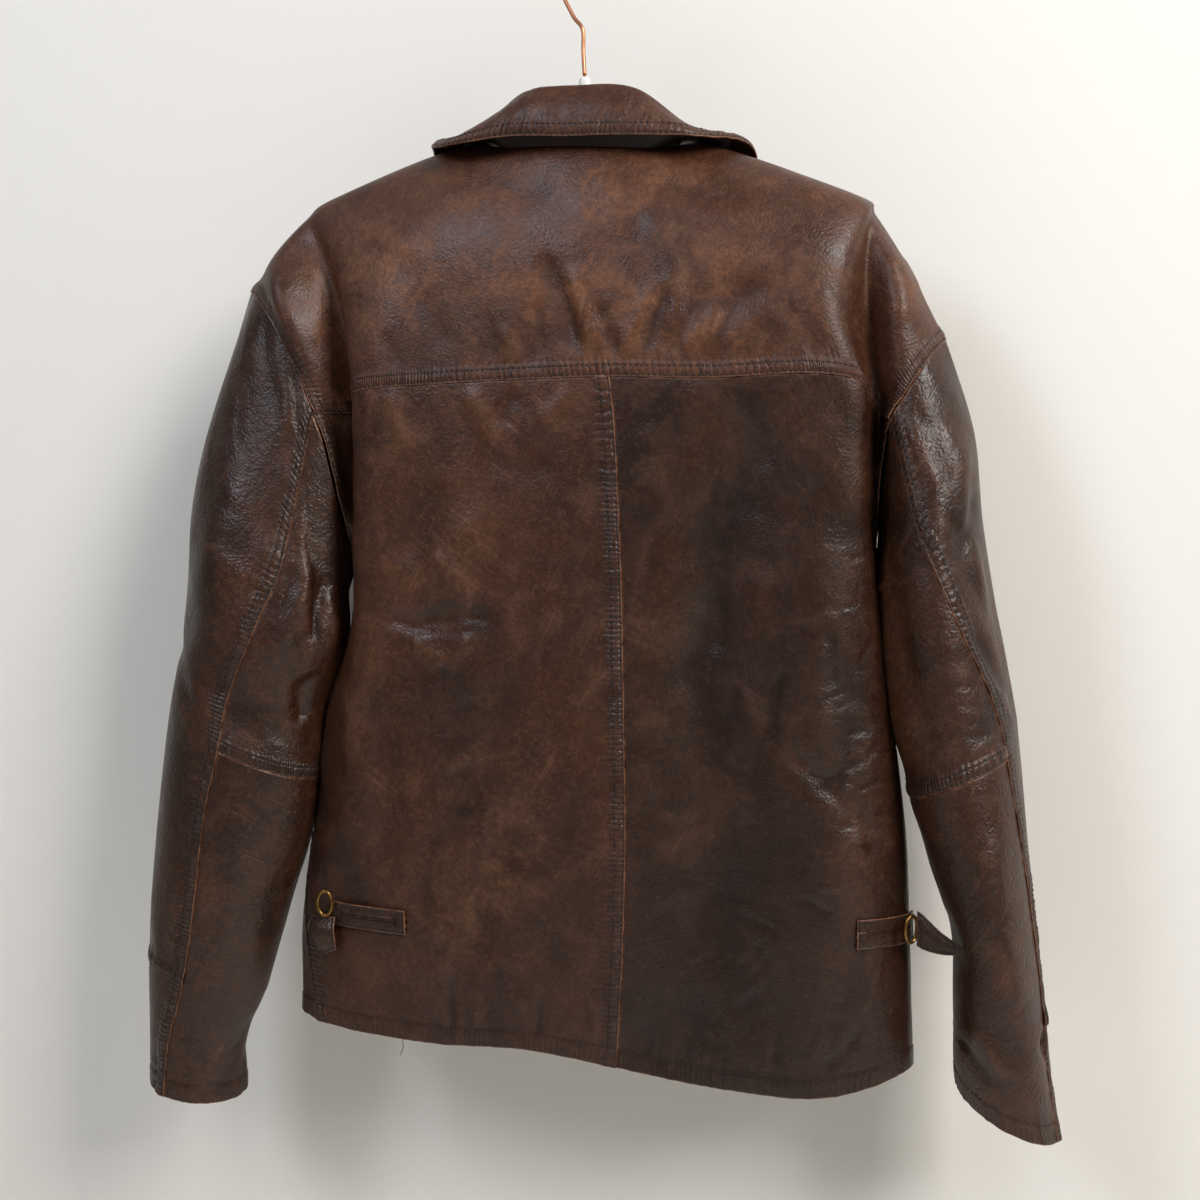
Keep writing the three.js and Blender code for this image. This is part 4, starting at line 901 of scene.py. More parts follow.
def tube(path, radius, sides=14):
    """A circle carried along a path whose points lie in one upright plane, closed at both ends."""
    ahead = np.gradient(path, axis=0)
    ahead /= np.linalg.norm(ahead, axis=1, keepdims=True)
    aside = np.array([0.0, 1.0, 0.0])
    up = np.cross(ahead, aside)
    angle = np.linspace(0, 2 * np.pi, sides, endpoint=False)
    ends = np.concatenate([[0.35], np.ones(len(path) - 2), [0.35]])
    points = path[:, None] + radius * ends[:, None, None] * (
        np.cos(angle)[None, :, None] * aside + np.sin(angle)[None, :, None] * up[:, None]
    )
    return points, rod_faces(len(path), sides)


def sew(name, rows, finish, tail=None):
    """All stitch rows of one group of pieces as one mesh, with a loose thread end where one hangs."""
    blocks = np.concatenate([stitches(p, n, seed) for seed, (p, n) in enumerate(rows)])
    one = len(STITCH_RINGS) * STITCH_SIDES
    quads = grid_faces(len(STITCH_RINGS), STITCH_SIDES, 1, closed=True)
    offsets = one * np.arange(len(blocks))
    faces = (quads[None] + offsets[:, None, None]).reshape(-1, 4)
    first = np.arange(STITCH_SIDES - 1, -1, -1)[None] + offsets[:, None]
    last = np.arange(one - STITCH_SIDES, one)[None] + offsets[:, None]
    points = blocks.reshape(-1, 3)
    sides = [*faces.tolist(), *first.tolist(), *last.tolist()]
    if tail:
        path = along(np.array(tail, float), np.linspace(0, len(tail) - 1, 24))
        loose, around = tube(path, THREAD_RADIUS, 5)
        sides += [[k + len(points) for k in face] for face in around]
        points = np.concatenate([points, loose.reshape(-1, 3)])
    return piece(name, points, sides, [finish])


def spots(places, x, z):
    """Sum of soft spots: each has its centre, its two half widths and its strength."""
    total = np.zeros(np.broadcast(x, z).shape)
    for cx, cz, wide, high, strength in places:
        total += strength * np.exp(-(((x - cx) / wide) ** 2) - ((z - cz) / high) ** 2)
    return total


def scatter(seed, count, region, direction, turn, length, width, depth):
    """Seeded short creases: centres in region (x0, x1, z0, z1), a direction in degrees with some turn, and
    ranges for length, width and depth. Each bends a little, and some are ridges."""
    rng = np.random.default_rng(seed)
    lines = []
    for _ in range(count):
        x, z = rng.uniform(region[0], region[1]), rng.uniform(region[2], region[3])
        angle = math.radians(direction + rng.uniform(-turn, turn))
        run = np.array([math.cos(angle), math.sin(angle)]) * rng.uniform(*length) / 2
        bow = np.array([-run[1], run[0]]) * rng.uniform(-0.25, 0.25)
        centre = np.array([x, z])
        size = rng.uniform(*width)
        line = [centre - run, centre + bow, centre + run]
        lines.append((line, size, rng.uniform(*depth) * rng.choice([-0.6, 1])))
    return lines


def creased(lines, small, across=None):
    """Wrinkle depth at a piece's points: its placed wrinkles and its seeded small ones, by x and z or by
    the two places that across gives."""
    every = [*lines, *(line for row in small for line in scatter(*row))]

    def depth(u, v, p):
        x, z = across(u, v) if across else (p[..., 0], p[..., 2])
        return folds(every, x, z)

    return depth


def on_sleeve(u, v):
    """Millimetres round and down a sleeve."""
    return np.mod(u, ROUND) * ROUND_SCALE, v * DOWN_SCALE


def on_collar(u, v):
    """Millimetres along and down the collar."""
    return u * COLLAR_SCALE[0], v * COLLAR_SCALE[1]


def worn_body(u, v, p):
    """How rubbed a body panel is."""
    return spots(BODY_WORN, p[..., 0], p[..., 2])


def painted_shade_body(u, v, p):
    """How much painted shade a body panel gets."""
    return spots(BODY_PAINTED_SHADE, p[..., 0], p[..., 2])


class Cut:
    """One leather piece: a surface with its range, seams and wrinkles, and what it is made of."""

    def __init__(self, name, surface, side, u_range, v_range, seams, **more):
        self.name, self.surface, self.side = name, surface, side
        self.u_range, self.v_range, self.seams = u_range, v_range, seams
        self.step = more.get("step", 2.6)
        self.wall = more.get("wall")
        self.wrinkles = more.get("wrinkles")
        self.worn = more.get("worn")
        self.soiled = more.get("soiled")
        self.lift = more.get("lift", 0)
        self.slot = more.get("slot", "leather")
        self.seed = more.get("seed", 1)
        self.rests_on = more.get("rests_on", ("hanger",))

    def grid(self):
        """Parameters of the piece's points, finer at its sewn edges."""
        (u0, u1), (v0, v1) = self.u_range, self.v_range
        fine = {edge: self.seams.get(edge) in ROWS for edge in ("left", "right", "top", "bottom")}
        across = bundle(self.surface, True, np.linspace(v0, v1, 5))
        down = bundle(self.surface, False, np.linspace(u0, u1, 5))
        return np.meshgrid(
            even(across, u0, u1, self.step, fine["left"], fine["right"]),
            even(down, v0, v1, self.step, fine["top"], fine["bottom"]),
        )


def sewn_edges(cut, distances):
    """What a piece's seams give its points: their relief, the bare edge, the stitch grooves, the strength
    of the ribs and the length along the seam that the ribs follow."""
    relief, sewn, pressed, gathered, seamwise = (np.zeros(distances["left"].shape) for _ in range(5))
    for edge, kind in cut.seams.items():
        d = distances[edge]
        s = distances["left"][:1] if edge in ("top", "bottom") else distances["top"][:, :1]
        s = np.broadcast_to(s, d.shape)
        relief = relief + seam_relief(kind, d, s, cut.seed + len(edge))
        fade = np.exp(-((np.clip(d - GATHER_BAND, 0, None) / GATHER_FADE) ** 2))
        drawn = GATHER.get(kind, 0) * fade * ease(d / 1.2)
        drawn = drawn * (0.75 + 0.45 * waver(s, 14, cut.seed + 7))
        seamwise = np.where(drawn > gathered, s, seamwise)
        gathered = np.maximum(gathered, drawn)
        if kind != "plain":
            sewn = np.maximum(sewn, hump(d, 0, BARE_EDGE))
        for row in ROWS.get(kind, ()):
            pressed = np.maximum(pressed, hump(d, row, 0.7))
    return relief, sewn, pressed, gathered, seamwise


def cut_leather(leather, cut, outside, inside, rows):
    """The mesh of a leather piece: its surface moved out by half its wall, its seams and its wrinkles, and
    given its wall by Solidify. Adds its stitch rows to rows."""
    thick = cut.wall or leather.wall / MM
    u, v = cut.grid()
    p = cut.surface(u, v)
    n = normals_of(p, cut.side)
    distances = edge_distances(p)
    relief, sewn, pressed, gathered, seamwise = sewn_edges(cut, distances)
    none = np.zeros(u.shape)
    crumple = cut.wrinkles(u, v, p) if cut.wrinkles else none
    nearest = np.minimum.reduce(list(distances.values()))
    crumple = crumple * ease((nearest + 1.5) / CRUMPLE_FADE)
    p_out = p + n * (thick / 2 + cut.lift + relief - crumple)[..., None]
    values = {
        "sewn": np.clip(sewn, 0, 1),
        # The stitch grooves count as sunk here, so that painted shade darkens them
        "raised": -crumple - 0.7 * pressed,
        "gathered": gathered,
        "seamwise": seamwise,
        # Painted shade spots of the body, darker towards the bottom, on the right and beside the left
        # sleeve
        "soiled": np.clip(cut.soiled(u, v, p), 0, 1) if cut.soiled else none,
        "worn": np.clip(cut.worn(u, v, p), 0, 1) if cut.worn else none,
    }
    faces = grid_faces(*u.shape, cut.side).tolist()
    made = piece(cut.name, p_out, faces, [outside, inside], (cut.name,), values)
    wall = made.modifiers.new("wall", "SOLIDIFY")
    wall.thickness = thick * MM
    wall.offset = -1
    wall.material_offset = 1
    n_out = normals_of(p_out, cut.side)
    for edge, kind in cut.seams.items():
        for row in ROWS.get(kind, ()):
            rows.append(row_of(p_out, n_out, distances[edge], edge, row))
    return made


# Finishes


def linear(code):
    """An sRGB hex colour as linear RGBA."""
    parts = [int(code[i : i + 2], 16) / 255 for i in (1, 3, 5)]
    return tuple(c / 12.92 if c <= 0.04045 else ((c + 0.055) / 1.055) ** 2.4 for c in parts) + (1.0,)


def shaded(colour, factor):
    """A colour lighter or darker by a factor."""
    return (*[c * factor for c in tuple(colour)[:3]], 1.0)


def node(tree, kind, inputs=None, **settings):
    """One node with its settings, and with values or links on its inputs; a node given links its first
    output."""
    made = tree.nodes.new(kind)
    for key, value in settings.items():
        setattr(made, key, value)
    for key, value in (inputs or {}).items():
        if isinstance(value, bpy.types.Node):
            value = value.outputs[0]
        if isinstance(value, bpy.types.NodeSocket):
            tree.links.new(value, made.inputs[key])
        else:
            made.inputs[key].default_value = value
    return made


def new_material(name, base):
    """A material with a Principled shader, its tree and that shader."""
    material = bpy.data.materials.new(name)
    material.use_nodes = True
    material.diffuse_color = base
    tree = material.node_tree
    tree.nodes.clear()
    shader = node(tree, "ShaderNodeBsdfPrincipled", {"Base Color": base})
    node(tree, "ShaderNodeOutputMaterial", {"Surface": shader.outputs[0]})
    return material, tree, shader


def kept(name, make):
    """The material of that name, made the first time it is asked for."""
    return bpy.data.materials.get(name) or make()


def per_mm(size):
    """Texture scale whose features are size millimetres across."""
    return 1 / (size * MM)


# Layers of a hide's colour: size in mm, distortion, where its noise starts and is full, share, and tone
# (0 the dark colour, also used for painted shade, 1 the rubbed colour), and detail. The last is coarser
# than the real pores.
HIDE_LAYERS = (
    (85, 0.5, 0.42, 0.66, 0.45, 0, 2),
    (30, 0.9, 0.48, 0.74, 0.24, 1, 2),
    (9, 0.6, 0.48, 0.70, 0.26, 0, 1),
    (4, 0.0, 0.50, 0.72, 0.2, 1, 1),
    (1.5, 0.0, 0.44, 0.64, 0.4, 0, 0),
)
# Scratches: turn about Y in radians, size of the noise in mm on three axes (thin across, drawn out along)
SCRATCHES = ((0.5, (1.3, 60, 60)), (-0.95, (1.1, 60, 46)))
UNEVENNESS = 1.8  # depth in mm of the hide's soft unevenness
GRAIN = 1.8  # size in mm of the pebbled grain, coarser than the real one so that it shows
CRACKLE = 7  # size in mm of the net of fine creases on the sleeves
# How the pieces' hides differ: tone, tone of the rubbed places, roughness and strength of the crackle
# The two tones are painted light and shade: lit and shaded copies of one hide, one for each piece
HIDES_AND_PAINTED_LIGHT = {
    "yoke": (1.75, 1.35, 0.46, 0),
    "back_left": (1.3, 1.25, 0.4, 0),
    "back_right": (0.8, 0.9, 0.4, 0),
    "front": (1.2, 1.0, 0.4, 0),
    "under_collar": (2.2, 1.4, 0.4, 0),
    "left_sleeve": (0.75, 0.95, 0.4, 1.2),
    "right_sleeve": (0.95, 0.95, 0.4, 1.2),
    "strap": (0.8, 0.8, 0.4, 0),
}


def clouded(tree, place, dark, base, light):
    """A hide's colour with its cloudy layers, and the noises of the patches, small patches and flecks."""
    tones, colour, clouds = (dark, light), base, []
    for size, twist, low, high, share, tone, detail in HIDE_LAYERS:
        cloud = node(tree, "ShaderNodeTexNoise", {
            "Vector": place, "Scale": per_mm(size), "Detail": detail, "Roughness": 0.6,
            "Distortion": twist})
        mask = node(
            tree, "ShaderNodeMapRange",
            {"Value": cloud, "From Min": low, "From Max": high, "To Max": share},
            interpolation_type="SMOOTHSTEP")
        mixed = node(tree, "ShaderNodeMix", {0: mask, 6: colour, 7: tones[tone]}, data_type="RGBA")
        colour = mixed.outputs[2]
        clouds.append(cloud)
    return colour, clouds[1:4]


def rubbed_pale(tree, place, colour, light, raised, worn, patches, flecks):
    """A hide's colour with its pale places: ridges and worn spots, broken up by the patches and flecks, and
    scratches where the patches leave them."""
    ridge = node(tree, "ShaderNodeMapRange", {
        "Value": raised, "From Min": 0.1, "From Max": 1.8, "To Max": 0.3})
    broken = node(tree, "ShaderNodeMapRange", {"Value": patches, "From Min": 0.35, "From Max": 0.62})
    spread = node(tree, "ShaderNodeMath", {0: worn, 1: broken}, operation="MULTIPLY")
    rubbed = node(tree, "ShaderNodeMath", {0: ridge, 1: spread}, operation="ADD", use_clamp=True)
    fine = node(tree, "ShaderNodeMapRange", {
        "Value": flecks, "From Min": 0.35, "From Max": 0.6, "To Min": 0.45})
    rubbed = node(tree, "ShaderNodeMath", {0: rubbed, 1: fine}, operation="MULTIPLY")
    colour = node(tree, "ShaderNodeMix", {0: rubbed, 6: colour, 7: light}, data_type="RGBA").outputs[2]
    for turn, size in SCRATCHES:
        drawn = node(
            tree, "ShaderNodeMapping",
            {"Vector": place, "Rotation": (0.2, turn, 0.0), "Scale": tuple(s * MM for s in size)},
            vector_type="TEXTURE")
        streaks = node(tree, "ShaderNodeTexNoise", {"Vector": drawn, "Scale": 1.0, "Detail": 0.0})
        share = node(tree, "ShaderNodeMapRange", {
            "Value": streaks, "From Min": 0.72, "From Max": 0.8, "To Max": 0.35})
        share = node(tree, "ShaderNodeMath", {0: share, 1: broken}, operation="MULTIPLY")
        colour = node(tree, "ShaderNodeMix", {0: share, 6: colour, 7: light}, data_type="RGBA").outputs[2]
    return colour


def stitch_ribs(tree, seamwise, gathered, small):
    """Height of the ribs between and beside stitch rows: a sine of the length along the seam, one wave for
    each stitch, that drifts a little."""
    drift = node(tree, "ShaderNodeMath", {0: small, 1: 5.0}, operation="MULTIPLY")
    turns = 2 * math.pi / STITCH_PITCH
    phase = node(tree, "ShaderNodeMath", {0: seamwise, 1: turns, 2: drift}, operation="MULTIPLY_ADD")
    ribs = node(tree, "ShaderNodeMath", {0: phase}, operation="SINE")
    return node(tree, "ShaderNodeMath", {0: ribs, 1: gathered}, operation="MULTIPLY")


def with_painted_shade(tree, colour, dark, ribs, raised, soiled):
    """A hide's colour with painted shade in the hollows between the stitch ribs, in the creases and stitch
    grooves, and in the body's shaded places.
    """
    # Painted shade: darker in the hollows between the stitch ribs, in the creases and grooves, and in the
    # shaded places of the body
    between = node(tree, "ShaderNodeMapRange", {
        "Value": ribs, "From Min": 0.1, "From Max": -1.0, "To Max": 0.75})
    crease_shade = node(tree, "ShaderNodeMapRange", {
        "Value": raised, "From Min": -0.15, "From Max": -1.8, "To Min": 0.0, "To Max": 0.5})
    for share in (between, crease_shade, soiled):
        colour = node(tree, "ShaderNodeMix", {0: share, 6: colour, 7: dark}, data_type="RGBA").outputs[2]
    return colour


def grained(tree, place, small, ribs, crackle):
    """A hide's surface: soft unevenness, ribs, pebbled grain and, on the sleeves, fine cracks."""
    pebbles = node(tree, "ShaderNodeTexNoise", {"Vector": place, "Scale": per_mm(GRAIN), "Detail": 0.0})
    heights = [(small, 0.17, UNEVENNESS), (ribs, 0.6, 0.4), (pebbles, 0.85, 0.35)]
    if crackle:
        warp = node(tree, "ShaderNodeTexNoise", {"Vector": place, "Scale": per_mm(20), "Detail": 0.0})
        bent = node(
            tree, "ShaderNodeVectorMath", {0: warp, 1: (0.025, -0.02, 0.03)}, operation="MULTIPLY")
        bent = node(tree, "ShaderNodeVectorMath", {0: place, 1: bent}, operation="ADD")
        cracks = node(
            tree, "ShaderNodeTexVoronoi", {"Vector": bent, "Scale": per_mm(CRACKLE)},
            feature="DISTANCE_TO_EDGE")
        lines = node(
            tree, "ShaderNodeMapRange", {"Value": cracks, "From Max": 0.2}, interpolation_type="SMOOTHSTEP")
        heights.append((lines, 0.3 * crackle, 0.3))
    under = {}
    for height, strength, depth in heights:
        bump = node(tree, "ShaderNodeBump", {
            "Height": height, "Strength": strength, "Distance": depth * MM, **under})
        under = {"Normal": bump}
    return bump.outputs[0]


def worn_cowhide(name, dark, base, light, edge, roughness, crackle):
    """Aniline-dyed, waxed cowhide, worn for years: cloudy colour, lighter where it is rubbed, with painted
    shade in its creases, stitch grooves and shaded places, tan where dye has gone from its edges, with a
    fine pebbled grain and a soft gloss."""
    material, tree, shader = new_material(name, base)
    place = node(tree, "ShaderNodeTexCoord").outputs["Object"]
    # One of these values holds the painted shade of the body's shaded places
    raised, worn, sewn, soiled, seamwise, gathered = (
        node(tree, "ShaderNodeAttribute", attribute_name=key).outputs["Fac"]
        for key in ("raised", "worn", "sewn", "soiled", "seamwise", "gathered")
    )
    colour, (patches, small, flecks) = clouded(tree, place, dark, base, light)
    colour = rubbed_pale(tree, place, colour, light, raised, worn, patches, flecks)
    ribs = stitch_ribs(tree, seamwise, gathered, small)
    colour = with_painted_shade(tree, colour, dark, ribs, raised, soiled)
    bare = node(tree, "ShaderNodeMapRange", {
        "Value": small, "From Min": 0.35, "From Max": 0.62, "To Min": 0.2, "To Max": 0.8})
    bare = node(tree, "ShaderNodeMath", {0: sewn, 1: bare}, operation="MULTIPLY")
    colour = node(tree, "ShaderNodeMix", {0: bare, 6: colour, 7: edge}, data_type="RGBA").outputs[2]
    tree.links.new(colour, shader.inputs["Base Color"])
    gloss = node(tree, "ShaderNodeMapRange", {
        "Value": patches, "From Min": 0.3, "From Max": 0.7, "To Min": roughness - 0.06,
        "To Max": roughness + 0.1})
    tree.links.new(gloss.outputs[0], shader.inputs["Roughness"])
    tree.links.new(grained(tree, place, small, ribs, crackle), shader.inputs["Normal"])
    shader.inputs["Specular IOR Level"].default_value = 0.4
    return material


def hide(settings, name):
    """The worn cowhide of one piece, its tones those of the settings' colours times its own: a lit or
    shaded copy whose brightness is painted light and shade.
    """
    tone, rubbed, roughness, crackle = HIDES_AND_PAINTED_LIGHT[name]
    full = "worn_cowhide_" + name
    return kept(full, lambda: worn_cowhide(
        full, shaded(settings.dark_and_shade_colour, tone), shaded(settings.hide_colour, tone),
        shaded(settings.rubbed_colour, rubbed), tuple(settings.edge_colour), roughness, crackle))


def woven_lining(name, code):
    """Brown viscose twill lining: a dull sheen and fine diagonal ribs, drawn coarser than real."""
    material, tree, shader = new_material(name, code)
    place = node(tree, "ShaderNodeTexCoord").outputs["Object"]
    turned = node(tree, "ShaderNodeMapping", {"Vector": place, "Rotation": (0, math.radians(63), 0)})
    ribs = node(tree, "ShaderNodeTexWave", {
        "Vector": turned, "Scale": per_mm(1.2) / 20, "Distortion": 0.6}).outputs["Fac"]
    bump = node(tree, "ShaderNodeBump", {"Height": ribs, "Strength": 0.2, "Distance": 0.15 * MM})
    tree.links.new(bump.outputs[0], shader.inputs["Normal"])
    shader.inputs["Roughness"].default_value = 0.55
    return material


def lining(settings):
    """The lining's material."""
    name = "viscose_twill_lining"
    return kept(name, lambda: woven_lining(name, tuple(settings.lining_colour)))


# Finishes of one colour: setting that holds it, factor to the colour of its patches, their size in mm,
# roughness and metallic
PLAIN_FINISHES = {
    # Waxed thread: dark and a little shiny, its twist too fine to see
    "waxed_polyester_thread": ("thread_colour", 2.2, 2.0, 0.5, 0.0),
    # Brass wire that has dulled: warm metal with darker tarnish
    "aged_brass": ("brass_colour", 0.45, 3.0, 0.32, 1.0),
    # Polished horn: dark, smooth and streaked with lighter patches
    "polished_horn": ("horn_colour", 2.5, 6.0, 0.25, 0.0),
    # Injection-moulded plastic: even, off-white, half shiny
    "moulded_polypropylene": ("plastic_colour", 0.94, 25.0, 0.35, 0.0),
    # Copper-plated steel wire: bright, with patches that have browned
    "copper_plated_wire": ("copper_colour", 0.75, 8.0, 0.28, 1.0),
}


def plain_finish(name, code, second, size, roughness, metallic):
    """A finish of one colour with small uneven patches of a second, and a little uneven surface."""
    material, tree, shader = new_material(name, code)
    place = node(tree, "ShaderNodeTexCoord").outputs["Object"]
    cloud = node(tree, "ShaderNodeTexNoise", {"Vector": place, "Scale": per_mm(size), "Detail": 5.0})
    share = node(tree, "ShaderNodeMapRange", {"Value": cloud, "From Min": 0.42, "From Max": 0.68})
    colour = node(tree, "ShaderNodeMix", {0: share, 6: code, 7: second}, data_type="RGBA")
    tree.links.new(colour.outputs[2], shader.inputs["Base Color"])
    rough = node(tree, "ShaderNodeMapRange", {
        "Value": cloud, "To Min": roughness - 0.06, "To Max": roughness + 0.12})
    tree.links.new(rough.outputs[0], shader.inputs["Roughness"])
    raised = node(tree, "ShaderNodeBump", {"Height": cloud, "Strength": 0.1, "Distance": 0.3 * MM})
    tree.links.new(raised.outputs[0], shader.inputs["Normal"])
    shader.inputs["Metallic"].default_value = metallic
    return material


def plain(settings, name):
    """The material of one of the PLAIN_FINISHES."""
    key, factor, size, roughness, metallic = PLAIN_FINISHES[name]
    colour = getattr(settings, key)
    return kept(name, lambda: plain_finish(
        name, tuple(colour), shaded(colour, factor), size, roughness, metallic))


# What a user may change


class JacketLeather(bpy.types.PropertyGroup):
    """Sizes and colours of the leather and its sewing."""

    wall: bpy.props.FloatProperty(
        name="Leather thickness", description="Leather with its lining", default=1.4 * MM, unit="LENGTH"
    )
    # Dark tone of the hide's clouds, and also the colour of its painted shade in creases, grooves and
    # shaded places
    dark_and_shade_colour: bpy.props.FloatVectorProperty(
        name="Creases", description="Hide where it folds in", size=4, subtype="COLOR",
        default=linear("#1a0c08"),
    )
    hide_colour: bpy.props.FloatVectorProperty(
        name="Hide", description="Main colour of the hide", size=4, subtype="COLOR",
        default=linear("#3c2113"),
    )
    rubbed_colour: bpy.props.FloatVectorProperty(
        name="Rubbed hide", description="Hide where it is worn", size=4, subtype="COLOR",
        default=linear("#6b442b"),
    )
    edge_colour: bpy.props.FloatVectorProperty(
        name="Edges", description="Bare leather on edges", size=4, subtype="COLOR",
        default=linear("#92644a"),
    )
    thread_colour: bpy.props.FloatVectorProperty(
        name="Thread", description="Colour of the thread", size=4, subtype="COLOR",
        default=linear("#0c0605"),
    )
    lining_colour: bpy.props.FloatVectorProperty(
        name="Lining", description="Colour of the lining", size=4, subtype="COLOR",
        default=linear("#2c1d17"),
    )


class JacketFittings(bpy.types.PropertyGroup):
    """Sizes and colours of the hard pieces."""

    button_radius: bpy.props.FloatProperty(
        name="Button radius", description="Radius of a front button", default=9 * MM, unit="LENGTH"
    )
    hook_wire: bpy.props.FloatProperty(
        name="Hook wire", description="Diameter of the hanger's hook", default=3 * MM, unit="LENGTH"
    )
    ring_wire: bpy.props.FloatProperty(
        name="Ring wire", description="Diameter of the waist rings' wire", default=2.6 * MM, unit="LENGTH"
    )
    horn_colour: bpy.props.FloatVectorProperty(
        name="Buttons", description="Colour of the horn", size=4, subtype="COLOR",
        default=linear("#2d2018"),
    )
    brass_colour: bpy.props.FloatVectorProperty(
        name="Brass", description="Colour of the rings", size=4, subtype="COLOR",
        default=linear("#8e6c3a"),
    )
    copper_colour: bpy.props.FloatVectorProperty(
        name="Copper", description="Colour of the hook", size=4, subtype="COLOR",
        default=linear("#c28566"),
    )
    plastic_colour: bpy.props.FloatVectorProperty(
        name="Plastic", description="Colour of the hanger", size=4, subtype="COLOR",
        default=linear("#e9e8e4"),
    )


class JacketStage(bpy.types.PropertyGroup):
    """The wall and the light that fills the room."""

    wall_colour: bpy.props.FloatVectorProperty(
        name="Wall", description="Colour of the wall and the floor", size=4, subtype="COLOR",
        default=linear("#efece6"),
    )
    room_light: bpy.props.FloatProperty(
        name="Room light", description="Strength of the light from all round", default=0.17, min=0
    )


OVER = 0.025  # how far a lapped edge runs past its seam line, in net lines


class JACKET_OT_back(bpy.types.Operator):
    """Yoke and two back panels, with their lapped seams, puckers and stitch rows"""

    bl_idname = "jacket.back"
    bl_label = "Back"

    def execute(self, context):
        leather = context.scene.jacket_leather
        rows = []
        wrinkled = creased(BACK_WRINKLES, BODY_SMALL)
        panel = {"wrinkles": wrinkled, "worn": worn_body, "soiled": painted_shade_body, "step": 2.1}
        cuts = (
            Cut("back_yoke", back, -1, (-OVER, HEM + OVER), (0, YOKE_SEAM + OVER),
                {"left": "lap", "right": "lap", "bottom": "lap", "top": "plain"},
                wrinkles=creased(YOKE_WRINKLES, YOKE_SMALL), worn=worn_body, seed=3),
            Cut("back_left", back, -1, (-OVER, CENTRE + OVER / 2), (YOKE_SEAM, HEM),
                {"left": "lap", "right": "lap", "top": "tuck", "bottom": "hem"}, seed=11, **panel),
            Cut("back_right", back, -1, (CENTRE, HEM + OVER), (YOKE_SEAM, HEM),
                {"left": "tuck", "right": "lap", "top": "tuck", "bottom": "hem"}, seed=19, **panel),
        )
        # Each back piece gets its own copy of the hide, lighter or darker as painted light and shade
        for cut, finish in zip(cuts, ("yoke", "back_left", "back_right")):
            cut_leather(leather, cut, hide(leather, finish), lining(leather), rows)
        sew("stitching_back", rows, plain(leather, "waxed_polyester_thread"), LOOSE_THREAD)
        return {"FINISHED"}


class JACKET_OT_fronts(bpy.types.Operator):
    """The two fronts, closed one over the other"""

    bl_idname = "jacket.fronts"
    bl_label = "Fronts"

    def execute(self, context):
        leather = context.scene.jacket_leather
        rows = []
        for name, surface, side in (("front_left", front_left, 1), ("front_right", front_right, -1)):
            cut = Cut(name, surface, side, (0, FRONT_EDGE), (0, FRONT_HEM),
                      {"left": "tuck", "right": "edge", "top": "plain", "bottom": "hem"},
                      step=4.0, wrinkles=creased([], FRONT_SMALL), seed=29)
            cut_leather(leather, cut, hide(leather, "front"), lining(leather), rows)
        sew("stitching_fronts", rows, plain(leather, "waxed_polyester_thread"))
        return {"FINISHED"}


class JACKET_OT_collar(bpy.types.Operator):
    """The turned-down collar with its rolled fold, and its inner stand"""

    bl_idname = "jacket.collar"
    bl_label = "Collar"

    def execute(self, context):
        leather = context.scene.jacket_leather
        rows = []
        under = hide(leather, "under_collar")
        turned = Cut("collar_fall", fall, -1, (0, COLLAR_END), (-TURN_IN, 1),
                     {"left": "edge", "right": "edge", "bottom": "lap"},
                     step=2.2, wall=COLLAR_WALL, wrinkles=creased([], COLLAR_SMALL, on_collar), seed=37)
        cut_leather(leather, turned, hide(leather, "yoke"), under, rows)
        inner = Cut("collar_stand", stand, -1, (0, COLLAR_END), (-STAND_HEM, 1), {}, step=4.0,
                    slot="leather_dark", seed=41)
        cut_leather(leather, inner, under, lining(leather), rows)
        sew("stitching_collar", rows, plain(leather, "waxed_polyester_thread"))
        return {"FINISHED"}


class JACKET_OT_sleeves(bpy.types.Operator):
    """Both sleeves, each of four pieces with an elbow seam behind and a forearm seam outside"""

    bl_idname = "jacket.sleeves"
    bl_label = "Sleeves"

    def execute(self, context):
        leather = context.scene.jacket_leather
        rows = []
        sides = (
            ("left_sleeve", sleeve_left, -1, creased(LEFT_WRINKLES, LEFT_SMALL, on_sleeve), 43),
            ("right_sleeve", sleeve_right, 1, creased(RIGHT_WRINKLES, RIGHT_SMALL, on_sleeve), 61),
        )
        outer, inner = (UNDER_SEAM - ROUND, BACK_SEAM + OVER), (BACK_SEAM, UNDER_SEAM)
        pieces = (
            ("_upper", outer, (0, FOREARM + OVER / 2), "lap"),
            ("_forearm", outer, (FOREARM, CUFF), "hem"),
            ("_under", inner, (0, ELBOW + OVER / 2), "lap"),
            ("_elbow", inner, (ELBOW, CUFF), "hem"),
        )
        for name, surface, side, wrinkled, seed in sides:
            for i, (part, across, down, lower) in enumerate(pieces):
                left, right = ("plain", "lap") if across == outer else ("tuck", "plain")
                cut = Cut(name + part, surface, side, across, down,
                          {"left": left, "right": right, "top": "tuck", "bottom": lower},
                          wrinkles=wrinkled, seed=seed + 3 * i)
                cut_leather(leather, cut, hide(leather, name), lining(leather), rows)
        sew("stitching_sleeves", rows, plain(leather, "waxed_polyester_thread"))
        return {"FINISHED"}


def wrapped_faces(rows, columns):
    """Quads of a grid closed both ways."""
    i, j = np.meshgrid(np.arange(rows), np.arange(columns), indexing="ij")
    a, b = i * columns, ((i + 1) % rows) * columns
    k = (j + 1) % columns
    return np.stack([a + j, b + j, b + k, a + k], axis=-1).reshape(-1, 4)


